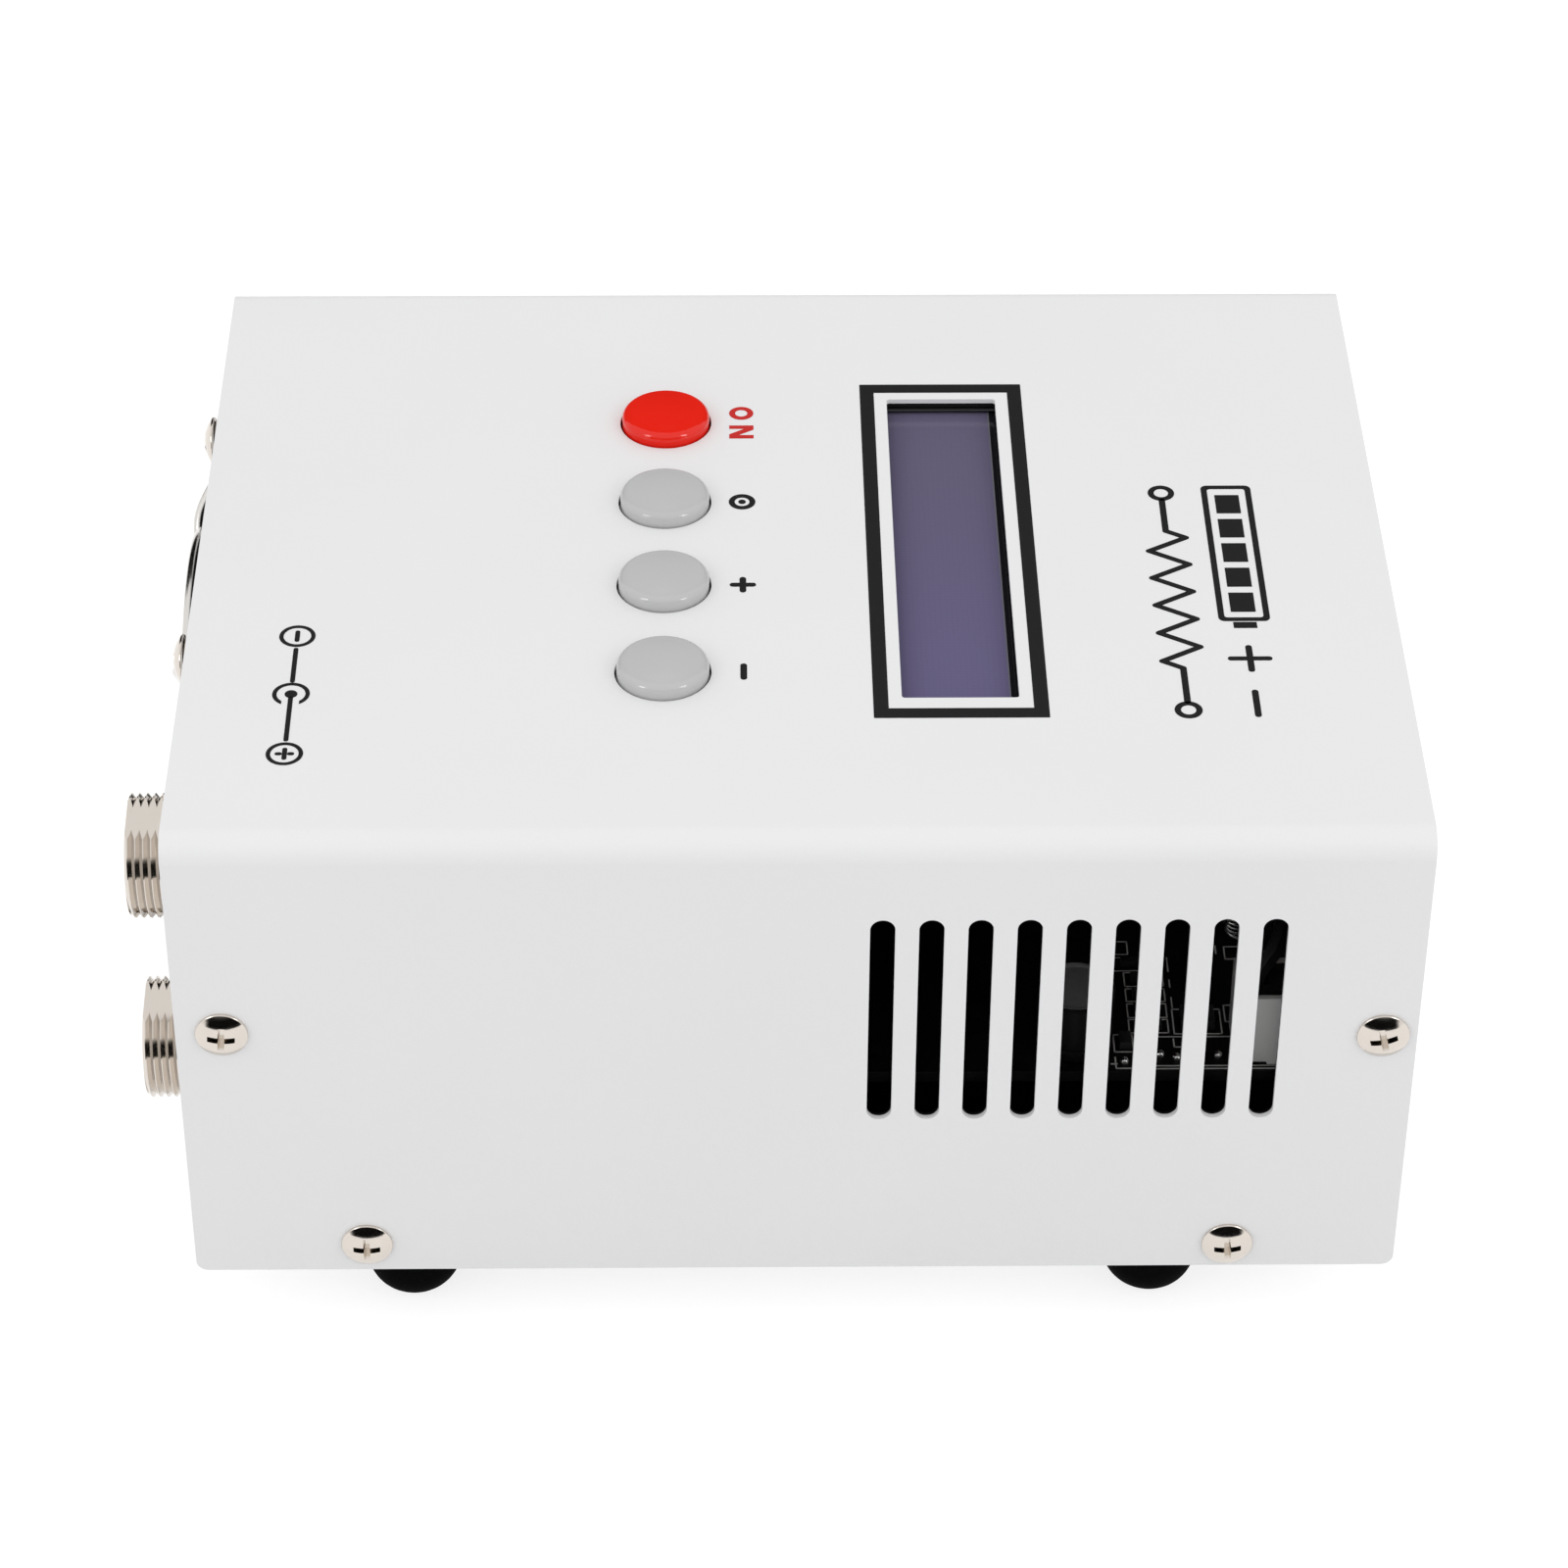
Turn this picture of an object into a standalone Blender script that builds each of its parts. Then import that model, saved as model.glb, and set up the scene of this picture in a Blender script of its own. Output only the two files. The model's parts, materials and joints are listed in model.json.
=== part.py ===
"""Battery capacity tester: a bench electronic load in a folded sheet-metal case.

Metres, +Z up. The operator's end panel, with the fan and the two round sockets, faces -Y.
The origin lies on the bench, under the middle of the whole object. Heights and lengths that
belong to the case are measured from its lower edge and from the middle of its length.
"""

import math

import bmesh
import bpy
from mathutils import Vector

MM = 0.001

# Case, folded from sheet
CASE_LENGTH = 154.0 * MM
CASE_WIDTH = 125.0 * MM
CASE_HEIGHT = 70.0 * MM
SHEET = 1.2 * MM
COVER_BEND = 3.4 * MM
COVER_CORNER = 1.5 * MM
CHASSIS_BEND = 2.2 * MM
PANEL_RECESS = 0.7 * MM
FLOOR_RISE = 0.5 * MM
FLANGE = 11.0 * MM
LIP = 9.0 * MM
CORNER_RELIEF = 3.5 * MM

# Clearances
SEAT_GAP = 0.3 * MM
KEY_GAP = 0.2 * MM
BLADE_TIP_GAP = 1.0 * MM
OVERRUN = 1.0 * MM
FUSE = 0.5 * MM

# Vent slots
SLOT_COUNT = 9
SLOT_PITCH = 6.0 * MM
SLOT_WIDTH = 3.1 * MM
SLOT_LENGTH = 32.1 * MM
SLOT_HEIGHT = 41.7 * MM
SLOT_FIRST = 10.2 * MM
REAR_SLOT_COUNT = 13

# Screws
SCREW_RADIUS = 1.5 * MM
SCREW_HEAD_RADIUS = 3.3 * MM
SCREW_HEAD_HEIGHT = 1.5 * MM
SCREW_HEAD_EDGE = 0.4 * MM
COVER_SCREW_LENGTH = 6.5 * MM
FRONT_UPPER_SCREW = (5.8 * MM, 40.2 * MM)
REAR_UPPER_SCREW = (4.3 * MM, 39.2 * MM)
FRONT_LOWER_SCREW = (22.1 * MM, 4.6 * MM)
REAR_LOWER_SCREW = (21.6 * MM, 4.0 * MM)
BOARD_SCREW_HEAD_RADIUS = 2.8 * MM
BOARD_SCREW_HEAD_HEIGHT = 1.6 * MM
BOARD_SCREW_LENGTH = 5.0 * MM

# Rubber feet
FOOT_RADIUS = 6.2 * MM
FOOT_HEIGHT = 8.4 * MM
FOOT_DOME = 5.0 * MM
FOOT_FLAT_RADIUS = 2.0 * MM
FOOT_NECK_RADIUS = 2.4 * MM
FOOT_BARB_RADIUS = 3.3 * MM
FOOT_BARB_HEIGHT = 2.6 * MM
FOOT_BARB_TIP_RADIUS = 1.6 * MM
FOOT_EDGE_INSET = 1.6 * MM
FRONT_FOOT = -49.5 * MM
REAR_FOOT = 46.2 * MM

# Fan
FAN_SIZE = 60.0 * MM
FAN_DEPTH = 25.0 * MM
FAN_CORNER = 4.0 * MM
FAN_HOLE_INSET = 5.0 * MM
FAN_HOLE_RADIUS = 2.15 * MM
FAN_RIM = 1.5 * MM
FAN_WALL = 1.3 * MM
FAN_FLANGE = 3.2 * MM
FAN_X = -9.0 * MM
FAN_HEIGHT = 38.3 * MM
FAN_SCREW_LENGTH = 12.0 * MM
HUB_RADIUS = 13.5 * MM
HUB_WALL = 1.3 * MM
HUB_SETBACK = 2.0 * MM
HUB_DEPTH = 17.5 * MM
HUB_ROUND = 1.2 * MM
ROTOR_RUNNING_GAP = 0.4 * MM
MOTOR_BASE = 3.0 * MM
STATOR_RADIUS = 10.8 * MM
STATOR_TOP_GAP = 1.5 * MM
SHAFT_RADIUS = 1.5 * MM
STRUT_COUNT = 4
STRUT_WIDTH = 3.0 * MM
STRUT_DEPTH = 2.6 * MM
BLADE_COUNT = 7
BLADE_CHORD_ROOT = 13.5 * MM
BLADE_CHORD_TIP = 20.0 * MM
BLADE_PITCH_ROOT = 50.0
BLADE_PITCH_TIP = 33.0
BLADE_SWEEP = 14.0
BLADE_THICKNESS = 1.3 * MM
BLADE_CAMBER = 1.9 * MM
BLADE_SECTIONS = 5
BLADE_POINTS = 4

# Finger guard of welded wire
WIRE_RADIUS = 0.7 * MM
GUARD_RING_SHARES = (0.79, 0.525, 0.26)
GUARD_RING_FACETS = (24, 16, 12)
GUARD_LEG_ANGLE = 45
GUARD_STAND = 2.9 * MM
GUARD_WELD = 0.4 * MM
EYELET_TURN = 290.0
EYELET_STEPS = 8

# Round sockets
SOCKET_X = 38.5 * MM
SOCKET_HEIGHTS = (49.2 * MM, 19.0 * MM)
SOCKET_RADIUS = 7.9 * MM
SOCKET_REACH = 6.9 * MM
SOCKET_FLAT_WIDTH = 5.9 * MM
SOCKET_FLAT_TILT = 12.0
SOCKET_FLANGE_RADIUS = 9.5 * MM
SOCKET_FLANGE = 2.0 * MM
SOCKET_TAIL_RADIUS = 7.4 * MM
SOCKET_TAIL = 10.8 * MM
SOCKET_MOUTH_RADIUS = 6.7 * MM
SOCKET_MOUTH_DEPTH = 9.9 * MM
SOCKET_BORE_RADIUS = 6.0 * MM
SOCKET_CHAMFER = 0.5 * MM
INSERT_HEAD = 2.7 * MM
INSERT_TAIL_INSET = 0.8 * MM
PIN_REACH = 5.4 * MM
PIN_TAIL = 4.5 * MM
BATTERY_PIN_RADIUS = 0.8 * MM
BATTERY_PIN_OFFSET = 3.2 * MM
SUPPLY_PIN_RADIUS = 1.1 * MM
SUPPLY_PIN_OFFSET = 3.4 * MM
NUT_FLATS = 19.0 * MM
NUT_THICKNESS = 1.8 * MM

# Display module and keys under the cover
WINDOW_LENGTH = 66.3 * MM
WINDOW_WIDTH = 14.7 * MM
WINDOW_CORNER = 0.4 * MM
DISPLAY_Y = 20.6 * MM
DISPLAY_VIEW_LENGTH = 64.8 * MM
DISPLAY_VIEW_WIDTH = 16.2 * MM
DISPLAY_END_BORDER = 3.2 * MM
DISPLAY_SIDE_BORDER = 4.5 * MM
DISPLAY_HEIGHT = 7.0 * MM
DISPLAY_FRAME_SHEET = 0.4 * MM
GLASS_THICKNESS = 2.6 * MM
KEY_Y = -16.6 * MM
KEY_PITCH = 18.7 * MM
KEY_NAMES = ("on", "set", "up", "down")
KEY_HOLE_RADIUS = 6.05 * MM
KEY_RISE = 2.45 * MM
KEY_CROWN = 0.55 * MM
KEY_ROUND = 1.1 * MM
KEY_COLLAR_RADIUS = 6.9 * MM
KEY_COLLAR = 1.0 * MM
KEY_TRAVEL = 0.4 * MM
SWITCH_SIZE = 12.0 * MM
SWITCH_CHAMFER = 1.2 * MM
SWITCH_HEIGHT = 3.5 * MM
SWITCH_WELL_RADIUS = 3.6 * MM
SWITCH_WELL_DEPTH = 2.8 * MM
PLUNGER_FOOT_HEIGHT = 2.4 * MM
PLUNGER_STEM = 3.8 * MM
PLUNGER_STEM_HEIGHT = 2.7 * MM

# Circuit boards
BOARD_THICKNESS = 1.6 * MM
BOARD_CORNER = 1.5 * MM
BOARD_HOLE_RADIUS = 1.8 * MM
BOARD_HOLE_INSET = 3.5 * MM
STANDOFF_RADIUS = 3.0 * MM
STANDOFF_THREAD_RADIUS = 1.85 * MM
STANDOFF_SIDES = 6
CONTROL_BOARD_MARGIN = 7.0 * MM
CONTROL_BOARD_FRONT = -27.0 * MM
CONTROL_BOARD_REAR = 40.0 * MM
MAIN_BOARD_TOP = 28.0 * MM
MAIN_BOARD_EDGE_INSET = 6.0 * MM
MAIN_BOARD_REAR_INSET = 5.0 * MM
MAIN_BOARD_FRONT = -8.0 * MM
MAIN_BOARD_STEP = 30.0 * MM
MAIN_BOARD_FAR_INSET = 9.0 * MM
MAIN_BOARD_STANDOFF_INSET = 3.2 * MM

# Heat sink and what stands on the main board
SINK_NEAR_X = 23.0 * MM
SINK_DEPTH = 64.0 * MM
SINK_FRONT = -46.0 * MM
SINK_REAR = 26.0 * MM
SINK_HEIGHT = 50.0 * MM
SINK_BASE = 5.0 * MM
SINK_FINS = 10
SINK_FIN = 1.5 * MM
BOARD_TO_SINK = 1.0 * MM
TRANSISTOR_WIDTH = 15.9 * MM
TRANSISTOR_HEIGHT = 20.8 * MM
TRANSISTOR_THICKNESS = 5.0 * MM
TRANSISTOR_HOLE_RADIUS = 1.8 * MM
TRANSISTOR_HOLE_DROP = 6.1 * MM
TRANSISTOR_STAND = 7.6 * MM
TRANSISTOR_PLACES = (2.0 * MM, 20.5 * MM)
LEG_PITCH = 5.45 * MM
LEG_WIDTH = 1.3 * MM
LEG_THICKNESS = 0.6 * MM
CAPACITOR_RADIUS = 4.95 * MM
CAPACITOR_HEIGHT = 8.8 * MM
CAPACITOR_INSET = 6.0 * MM
CAPACITOR_SETBACK = 36.6 * MM
TERMINAL_LENGTH = 10.2 * MM
TERMINAL_WIDTH = 8.2 * MM
TERMINAL_HEIGHT = 10.9 * MM
TERMINAL_INSET = 4.9 * MM
TERMINAL_SETBACK = 11.5 * MM
TERMINAL_PITCH = 5.08 * MM
TERMINAL_WELL_RADIUS = 1.9 * MM
TERMINAL_WELL_DEPTH = 4.0 * MM
LEAD_RADIUS = 1.2 * MM
LEAD_RISE = 17.0 * MM
LEAD_SWING = 10.0 * MM
LEAD_SIDESTEP = 3.0 * MM
LEAD_SPREAD = 2.0 * MM
LEAD_BEND_SETBACK = 16.0 * MM
LEAD_HIGH_Y = 10.0 * MM
LEAD_LOW_Y = -25.0 * MM
LEAD_RUN_IN = 9.0 * MM

# Facets of round forms
FINE = 24
MEDIUM = 16
COARSE = 8
SLOT_END = 3

# Places worked out from the sizes above
CASE_Z = FOOT_HEIGHT
CASE_Y = SOCKET_REACH / 2
HALF_WIDTH = CASE_WIDTH / 2
HALF_LENGTH = CASE_LENGTH / 2
FRONT_PANEL = -HALF_LENGTH + PANEL_RECESS
CHASSIS_HALF_WIDTH = HALF_WIDTH - SHEET - SEAT_GAP
FLOOR_TOP = FLOOR_RISE + SHEET
CHASSIS_TOP = CASE_HEIGHT - SHEET - SEAT_GAP
COVER_UNDERSIDE = CASE_HEIGHT - SHEET
DISPLAY_TOP = COVER_UNDERSIDE - SEAT_GAP
DISPLAY_LENGTH = DISPLAY_VIEW_LENGTH + 2 * DISPLAY_END_BORDER
DISPLAY_WIDTH = DISPLAY_VIEW_WIDTH + 2 * DISPLAY_SIDE_BORDER
KEY_ROW_LENGTH = (len(KEY_NAMES) - 1) * KEY_PITCH + SWITCH_SIZE
CONTROL_BOARD_LENGTH = max(DISPLAY_LENGTH, KEY_ROW_LENGTH) + 2 * CONTROL_BOARD_MARGIN
CONTROL_BOARD_TOP = DISPLAY_TOP - DISPLAY_HEIGHT - SEAT_GAP
SWITCH_TOP = CONTROL_BOARD_TOP + SEAT_GAP + SWITCH_HEIGHT
PLUNGER_FOOT = SWITCH_TOP - SWITCH_WELL_DEPTH + KEY_TRAVEL + SEAT_GAP
PLUNGER_TOP = PLUNGER_FOOT + PLUNGER_FOOT_HEIGHT + PLUNGER_STEM_HEIGHT
KEY_BOTTOM = SWITCH_TOP + KEY_TRAVEL + SEAT_GAP
KEY_RADIUS = KEY_HOLE_RADIUS - KEY_GAP
PARTS_ON_BOARD = MAIN_BOARD_TOP + SEAT_GAP
SCREW_HOLE_RADIUS = SCREW_RADIUS + SEAT_GAP
GUARD_SEAT = FRONT_PANEL - SEAT_GAP - WIRE_RADIUS
FAN_FRONT = FRONT_PANEL + SHEET + SEAT_GAP
FAN_HOLE_SPACING = FAN_SIZE - 2 * FAN_HOLE_INSET
FAN_BORE_RADIUS = FAN_SIZE / 2 - FAN_RIM
GUARD_RINGS = [share * FAN_BORE_RADIUS for share in GUARD_RING_SHARES]
FAN_SCREW_SEAT = GUARD_SEAT - WIRE_RADIUS - SEAT_GAP
MAIN_BOARD_NEAR = HALF_WIDTH - MAIN_BOARD_EDGE_INSET
MAIN_BOARD_FAR = -HALF_WIDTH + MAIN_BOARD_FAR_INSET
MAIN_BOARD_REAR = HALF_LENGTH - MAIN_BOARD_REAR_INSET
CAPACITOR_X = MAIN_BOARD_NEAR - CAPACITOR_INSET
CAPACITOR_Y = MAIN_BOARD_REAR - CAPACITOR_SETBACK
TERMINAL_X = MAIN_BOARD_NEAR - TERMINAL_INSET
TERMINAL_Y = MAIN_BOARD_REAR - TERMINAL_SETBACK
LEAD_BEND_Y = TERMINAL_Y - LEAD_BEND_SETBACK
SOCKET_TIP = -HALF_LENGTH - SOCKET_REACH
SOCKET_FLANGE_FRONT = FRONT_PANEL + SHEET + SEAT_GAP
SOCKET_STEP = SOCKET_TIP + SOCKET_MOUTH_DEPTH
SOCKET_END = SOCKET_FLANGE_FRONT + SOCKET_FLANGE + SOCKET_TAIL
INSERT_FACE = SOCKET_STEP - SEAT_GAP - INSERT_HEAD
PIN_END = SOCKET_END - INSERT_TAIL_INSET + PIN_TAIL

FINISHES = {
    "white_powder_coat": ((0.80, 0.80, 0.80), 0.45, 0.0),
    "nickel": ((0.78, 0.75, 0.70), 0.18, 1.0),
    "black_rubber": ((0.012, 0.012, 0.012), 0.75, 0.0),
    "black_moulding": ((0.02, 0.02, 0.02), 0.5, 0.0),
    "chrome_wire": ((0.82, 0.81, 0.79), 0.2, 1.0),
    "red_key": ((0.76, 0.02, 0.01), 0.3, 0.0),
    "grey_key": ((0.53, 0.53, 0.53), 0.35, 0.0),
    "display_glass": ((0.13, 0.115, 0.19), 0.15, 0.0),
    "display_frame": ((0.10, 0.10, 0.11), 0.4, 0.8),
    "backlight": ((0.75, 0.77, 0.8), 0.6, 0.0),
    "black_board": ((0.012, 0.014, 0.013), 0.35, 0.0),
    "zinc_screw": ((0.70, 0.70, 0.68), 0.3, 1.0),
    "switch_body": ((0.015, 0.015, 0.015), 0.4, 0.0),
    "plunger": ((0.03, 0.03, 0.03), 0.5, 0.0),
    "black_anodised": ((0.015, 0.015, 0.017), 0.4, 0.6),
    "transistor": ((0.02, 0.02, 0.022), 0.45, 0.0),
    "capacitor": ((0.03, 0.03, 0.035), 0.4, 0.0),
    "white_nylon": ((0.80, 0.79, 0.76), 0.5, 0.0),
    "black_lead": ((0.012, 0.012, 0.012), 0.5, 0.0),
    "red_lead": ((0.55, 0.02, 0.015), 0.5, 0.0),
}


def clear_scene():
    """Empties the startup scene."""
    for obj in list(bpy.data.objects):
        bpy.data.objects.remove(obj, do_unlink=True)


def material_for(finish):
    """The named finish as a Principled material, made once."""
    found = bpy.data.materials.get(finish)
    if found:
        return found
    color, roughness, metallic = FINISHES[finish]
    made = bpy.data.materials.new(finish)
    made.use_nodes = True
    shader = made.node_tree.nodes["Principled BSDF"]
    shader.inputs["Base Color"].default_value = (*color, 1.0)
    shader.inputs["Roughness"].default_value = roughness
    shader.inputs["Metallic"].default_value = metallic
    made.diffuse_color = (*color, 1.0)
    return made


def add_part(name, mesh, finish, place=(0, 0, 0)):
    """A named sub-part, placed in the case's own lengths and heights."""
    obj = bpy.data.objects.new(name, mesh)
    bpy.context.scene.collection.objects.link(obj)
    obj.location = Vector(place) + Vector((0, CASE_Y, CASE_Z))
    mesh.shade_smooth()
    mesh.set_sharp_from_angle(angle=math.radians(32))
    mesh.materials.clear()
    mesh.materials.append(material_for(finish))
    return obj


def arc(centre, radius, start, end, steps, flatten=1.0):
    """Points on an arc from start to end degrees, both ends included."""
    points = []
    for step in range(steps + 1):
        angle = math.radians(start + (end - start) * step / steps)
        across = centre[0] + radius * math.cos(angle)
        along = centre[1] + radius * flatten * math.sin(angle)
        points.append((across, along))
    return points


def circle(centre, radius, steps):
    """Corners of a regular outline round a centre."""
    return arc(centre, radius, 0, 360 - 360 / steps, steps - 1)


def rectangle(low, high):
    """Corners of an upright rectangle."""
    return [low, (high[0], low[1]), high, (low[0], high[1])]


def rounded_rectangle(low, high, radius, steps=3):
    """An upright rectangle with round corners."""
    right, top = high[0] - radius, high[1] - radius
    left, bottom = low[0] + radius, low[1] + radius
    return (
        arc((right, bottom), radius, -90, 0, steps)
        + arc((right, top), radius, 0, 90, steps)
        + arc((left, top), radius, 90, 180, steps)
        + arc((left, bottom), radius, 180, 270, steps)
    )


def slot(centre, width, length):
    """A tall slot with round ends."""
    rise = (length - width) / 2
    upper = arc((centre[0], centre[1] + rise), width / 2, 0, 180, SLOT_END)
    lower = arc((centre[0], centre[1] - rise), width / 2, 180, 360, SLOT_END)
    return upper + lower


def flatted_circle(centre, radius, flat_width, tilt, steps):
    """A circle cut by one flat that faces up, tilted from upright towards +X."""
    half = math.degrees(math.asin(flat_width / 2 / radius))
    top = 90 - tilt
    return arc(centre, radius, top + half, top + 360 - half, steps)


def in_space(axis, across, up, along):
    """A point of an outline's plane, and its place along the plane's own axis."""
    if axis == "X":
        return Vector((along, across, up))
    if axis == "Y":
        return Vector((across, along, up))
    return Vector((across, up, along))


def prism(body, axis, outline, low, high):
    """Extrudes a closed outline along an axis, from low to high."""
    corners = [body.verts.new(in_space(axis, across, up, low)) for across, up in outline]
    face = body.faces.new(corners)
    grown = bmesh.ops.extrude_face_region(body, geom=[face])
    far = [item for item in grown["geom"] if isinstance(item, bmesh.types.BMVert)]
    bmesh.ops.translate(body, verts=far, vec=in_space(axis, 0, 0, high - low))
    bmesh.ops.recalc_face_normals(body, faces=body.faces[:])
    return body


def turned(body, axis, centre, profile, steps, ring=False):
    """Spins a profile of (radius, along) points round an axis through centre."""
    spots = [body.verts.new(in_space(axis, centre[0] + r, centre[1], along)) for r, along in profile]
    ends = list(zip(spots, spots[1:]))
    if ring:
        ends.append((spots[-1], spots[0]))
    edges = [body.edges.new(pair) for pair in ends]
    bmesh.ops.spin(
        body,
        geom=spots + edges,
        cent=in_space(axis, centre[0], centre[1], 0),
        axis=in_space(axis, 0, 0, 1),
        angle=math.tau,
        steps=steps,
        use_merge=True,
    )
    bmesh.ops.remove_doubles(body, verts=body.verts[:], dist=0.001 * MM)
    bmesh.ops.recalc_face_normals(body, faces=body.faces[:])
    return body


def block(body, low, high):
    """A box between two corners."""
    outline = rectangle((low[0], low[1]), (high[0], high[1]))
    return prism(body, "Z", outline, low[2], high[2])


def bevel_where(body, chosen, width, segments):
    """Rounds the edges that the test picks by their two ends."""
    edges = [edge for edge in body.edges if chosen(edge.verts[0].co, edge.verts[1].co)]
    bmesh.ops.bevel(
        body,
        geom=edges,
        offset=width,
        offset_type="OFFSET",
        segments=segments,
        profile=0.5,
        affect="EDGES",
        material=-1,
    )
    return body


def mesh_of(body, name="body"):
    """The bmesh as a mesh."""
    mesh = bpy.data.meshes.new(name)
    body.to_mesh(mesh)
    body.free()
    return mesh


def carved(body, *cuts):
    """The mesh of a body after Boolean cuts, each an operation's name and a second body."""
    scene = bpy.context.scene.collection
    blank = bpy.data.objects.new("blank", mesh_of(body))
    scene.objects.link(blank)
    tools = []
    for operation, shape in cuts:
        tool = bpy.data.objects.new("tool", mesh_of(shape))
        scene.objects.link(tool)
        cut = blank.modifiers.new(operation, "BOOLEAN")
        cut.operation = operation
        cut.solver = "EXACT"
        cut.object = tool
        tools.append(tool)
    graph = bpy.context.evaluated_depsgraph_get()
    mesh = bpy.data.meshes.new_from_object(blank.evaluated_get(graph))
    for obj in [blank] + tools:
        spent = obj.data
        bpy.data.objects.remove(obj, do_unlink=True)
        bpy.data.meshes.remove(spent)
    return mesh


def wire_mesh(points, radius, resolution, cyclic=False):
    """A round wire along points, as a closed mesh."""
    curve = bpy.data.curves.new("wire", "CURVE")
    curve.dimensions = "3D"
    curve.bevel_depth = radius
    curve.bevel_resolution = resolution
    curve.use_fill_caps = not cyclic
    spline = curve.splines.new("POLY")
    spline.points.add(len(points) - 1)
    for spot, place in zip(spline.points, points):
        spot.co = (*place, 1.0)
    spline.use_cyclic_u = cyclic
    obj = bpy.data.objects.new("wire", curve)
    bpy.context.scene.collection.objects.link(obj)
    graph = bpy.context.evaluated_depsgraph_get()
    mesh = bpy.data.meshes.new_from_object(obj.evaluated_get(graph))
    bpy.data.objects.remove(obj, do_unlink=True)
    bpy.data.curves.remove(curve)
    return mesh


def wire_body(points, radius, resolution, cyclic=False):
    """A round wire along points, as a welded bmesh."""
    body = bmesh.new()
    body.from_mesh(wire_mesh(points, radius, resolution, cyclic))
    bmesh.ops.remove_doubles(body, verts=body.verts[:], dist=0.001 * MM)
    bmesh.ops.recalc_face_normals(body, faces=body.faces[:])
    return body


def smooth_path(points, per_span):
    """Points on a Catmull-Rom curve through hand-set points."""
    spots = [Vector(point) for point in points]
    spots = [2 * spots[0] - spots[1]] + spots + [2 * spots[-1] - spots[-2]]
    path = []
    for before, start, end, after in zip(spots, spots[1:], spots[2:], spots[3:]):
        for step in range(per_span):
            t = step / per_span
            bend = 2 * before - 5 * start + 4 * end - after
            twist = 3 * start - before - 3 * end + after
            path.append(start + 0.5 * (t * (end - before) + t * t * bend + t * t * t * twist))
    path.append(spots[-2])
    return path


def key_x(number):
    """Place of a key across the cover, the red one first."""
    return (number - (len(KEY_NAMES) - 1) / 2) * KEY_PITCH


def cover_screw_places():
    """Name, side, length and height of each cover screw."""
    screws = (
        ("front_upper", -1, FRONT_UPPER_SCREW),
        ("front_lower", -1, FRONT_LOWER_SCREW),
        ("rear_upper", 1, REAR_UPPER_SCREW),
        ("rear_lower", 1, REAR_LOWER_SCREW),
    )
    places = []
    for side, side_name in ((1, "right"), (-1, "left")):
        for name, end, (inset, height) in screws:
            places.append((f"{side_name}_{name}", side, end * (HALF_LENGTH - inset), height))
    return places


def foot_places():
    """Name and place of each foot."""
    inset = HALF_WIDTH - FOOT_EDGE_INSET - FOOT_RADIUS
    return [
        ("front_right", inset, FRONT_FOOT),
        ("rear_right", inset, REAR_FOOT),
        ("front_left", -inset, FRONT_FOOT),
        ("rear_left", -inset, REAR_FOOT),
    ]


def fan_corners():
    """Places of the four fan screws in the end panel's plane."""
    half = FAN_HOLE_SPACING / 2
    signs = ((1, 1), (-1, 1), (-1, -1), (1, -1))
    return [(FAN_X + a * half, FAN_HEIGHT + b * half) for a, b in signs]


def control_board_holes():
    """Places of the four studs that carry the control board."""
    across = CONTROL_BOARD_LENGTH / 2 - BOARD_HOLE_INSET
    front = CONTROL_BOARD_FRONT + BOARD_HOLE_INSET
    rear = CONTROL_BOARD_REAR - BOARD_HOLE_INSET
    return [(across, front), (across, rear), (-across, rear), (-across, front)]


def main_board_holes():
    """Places of the four standoffs that carry the main board."""
    near = MAIN_BOARD_NEAR - MAIN_BOARD_STANDOFF_INSET
    far = MAIN_BOARD_FAR + MAIN_BOARD_STANDOFF_INSET
    front = MAIN_BOARD_FRONT + MAIN_BOARD_STANDOFF_INSET
    step = MAIN_BOARD_STEP + MAIN_BOARD_STANDOFF_INSET
    rear = MAIN_BOARD_REAR - MAIN_BOARD_STANDOFF_INSET
    return [(near, front), (near, rear), (far, rear), (far, step)]


def cover_section():
    """The cover's folded cross-section, down both walls."""
    top = CASE_HEIGHT - COVER_BEND
    side = HALF_WIDTH - COVER_BEND
    inner = COVER_BEND - SHEET
    outer_line = arc((side, top), COVER_BEND, 0, 90, 5) + arc((-side, top), COVER_BEND, 90, 180, 5)
    inner_line = arc((-side, top), inner, 180, 90, 5) + arc((side, top), inner, 90, 0, 5)
    inside = HALF_WIDTH - SHEET
    return (
        [(HALF_WIDTH, 0)]
        + outer_line
        + [(-HALF_WIDTH, 0), (-inside, 0)]
        + inner_line
        + [(inside, 0)]
    )


def side_holes():
    """Everything that is punched through both long walls at once."""
    body = bmesh.new()
    reach = HALF_WIDTH + OVERRUN
    for number in range(SLOT_COUNT):
        centre = (SLOT_FIRST + number * SLOT_PITCH, SLOT_HEIGHT)
        prism(body, "X", slot(centre, SLOT_WIDTH, SLOT_LENGTH), -reach, reach)
    for _, side, length, height in cover_screw_places():
        if side > 0:
            hole = circle((length, height), SCREW_HOLE_RADIUS, COARSE)
            prism(body, "X", hole, -reach, reach)
    return body


def top_holes():
    """The display window and the key holes in the cover's top."""
    body = bmesh.new()
    low = COVER_UNDERSIDE - OVERRUN
    high = CASE_HEIGHT + OVERRUN
    window = rounded_rectangle(
        (-WINDOW_LENGTH / 2, DISPLAY_Y - WINDOW_WIDTH / 2),
        (WINDOW_LENGTH / 2, DISPLAY_Y + WINDOW_WIDTH / 2),
        WINDOW_CORNER,
        1,
    )
    prism(body, "Z", window, low, high)
    for number in range(len(KEY_NAMES)):
        hole = circle((key_x(number), KEY_Y), KEY_HOLE_RADIUS, MEDIUM)
        prism(body, "Z", hole, low, high)
    return body


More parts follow.
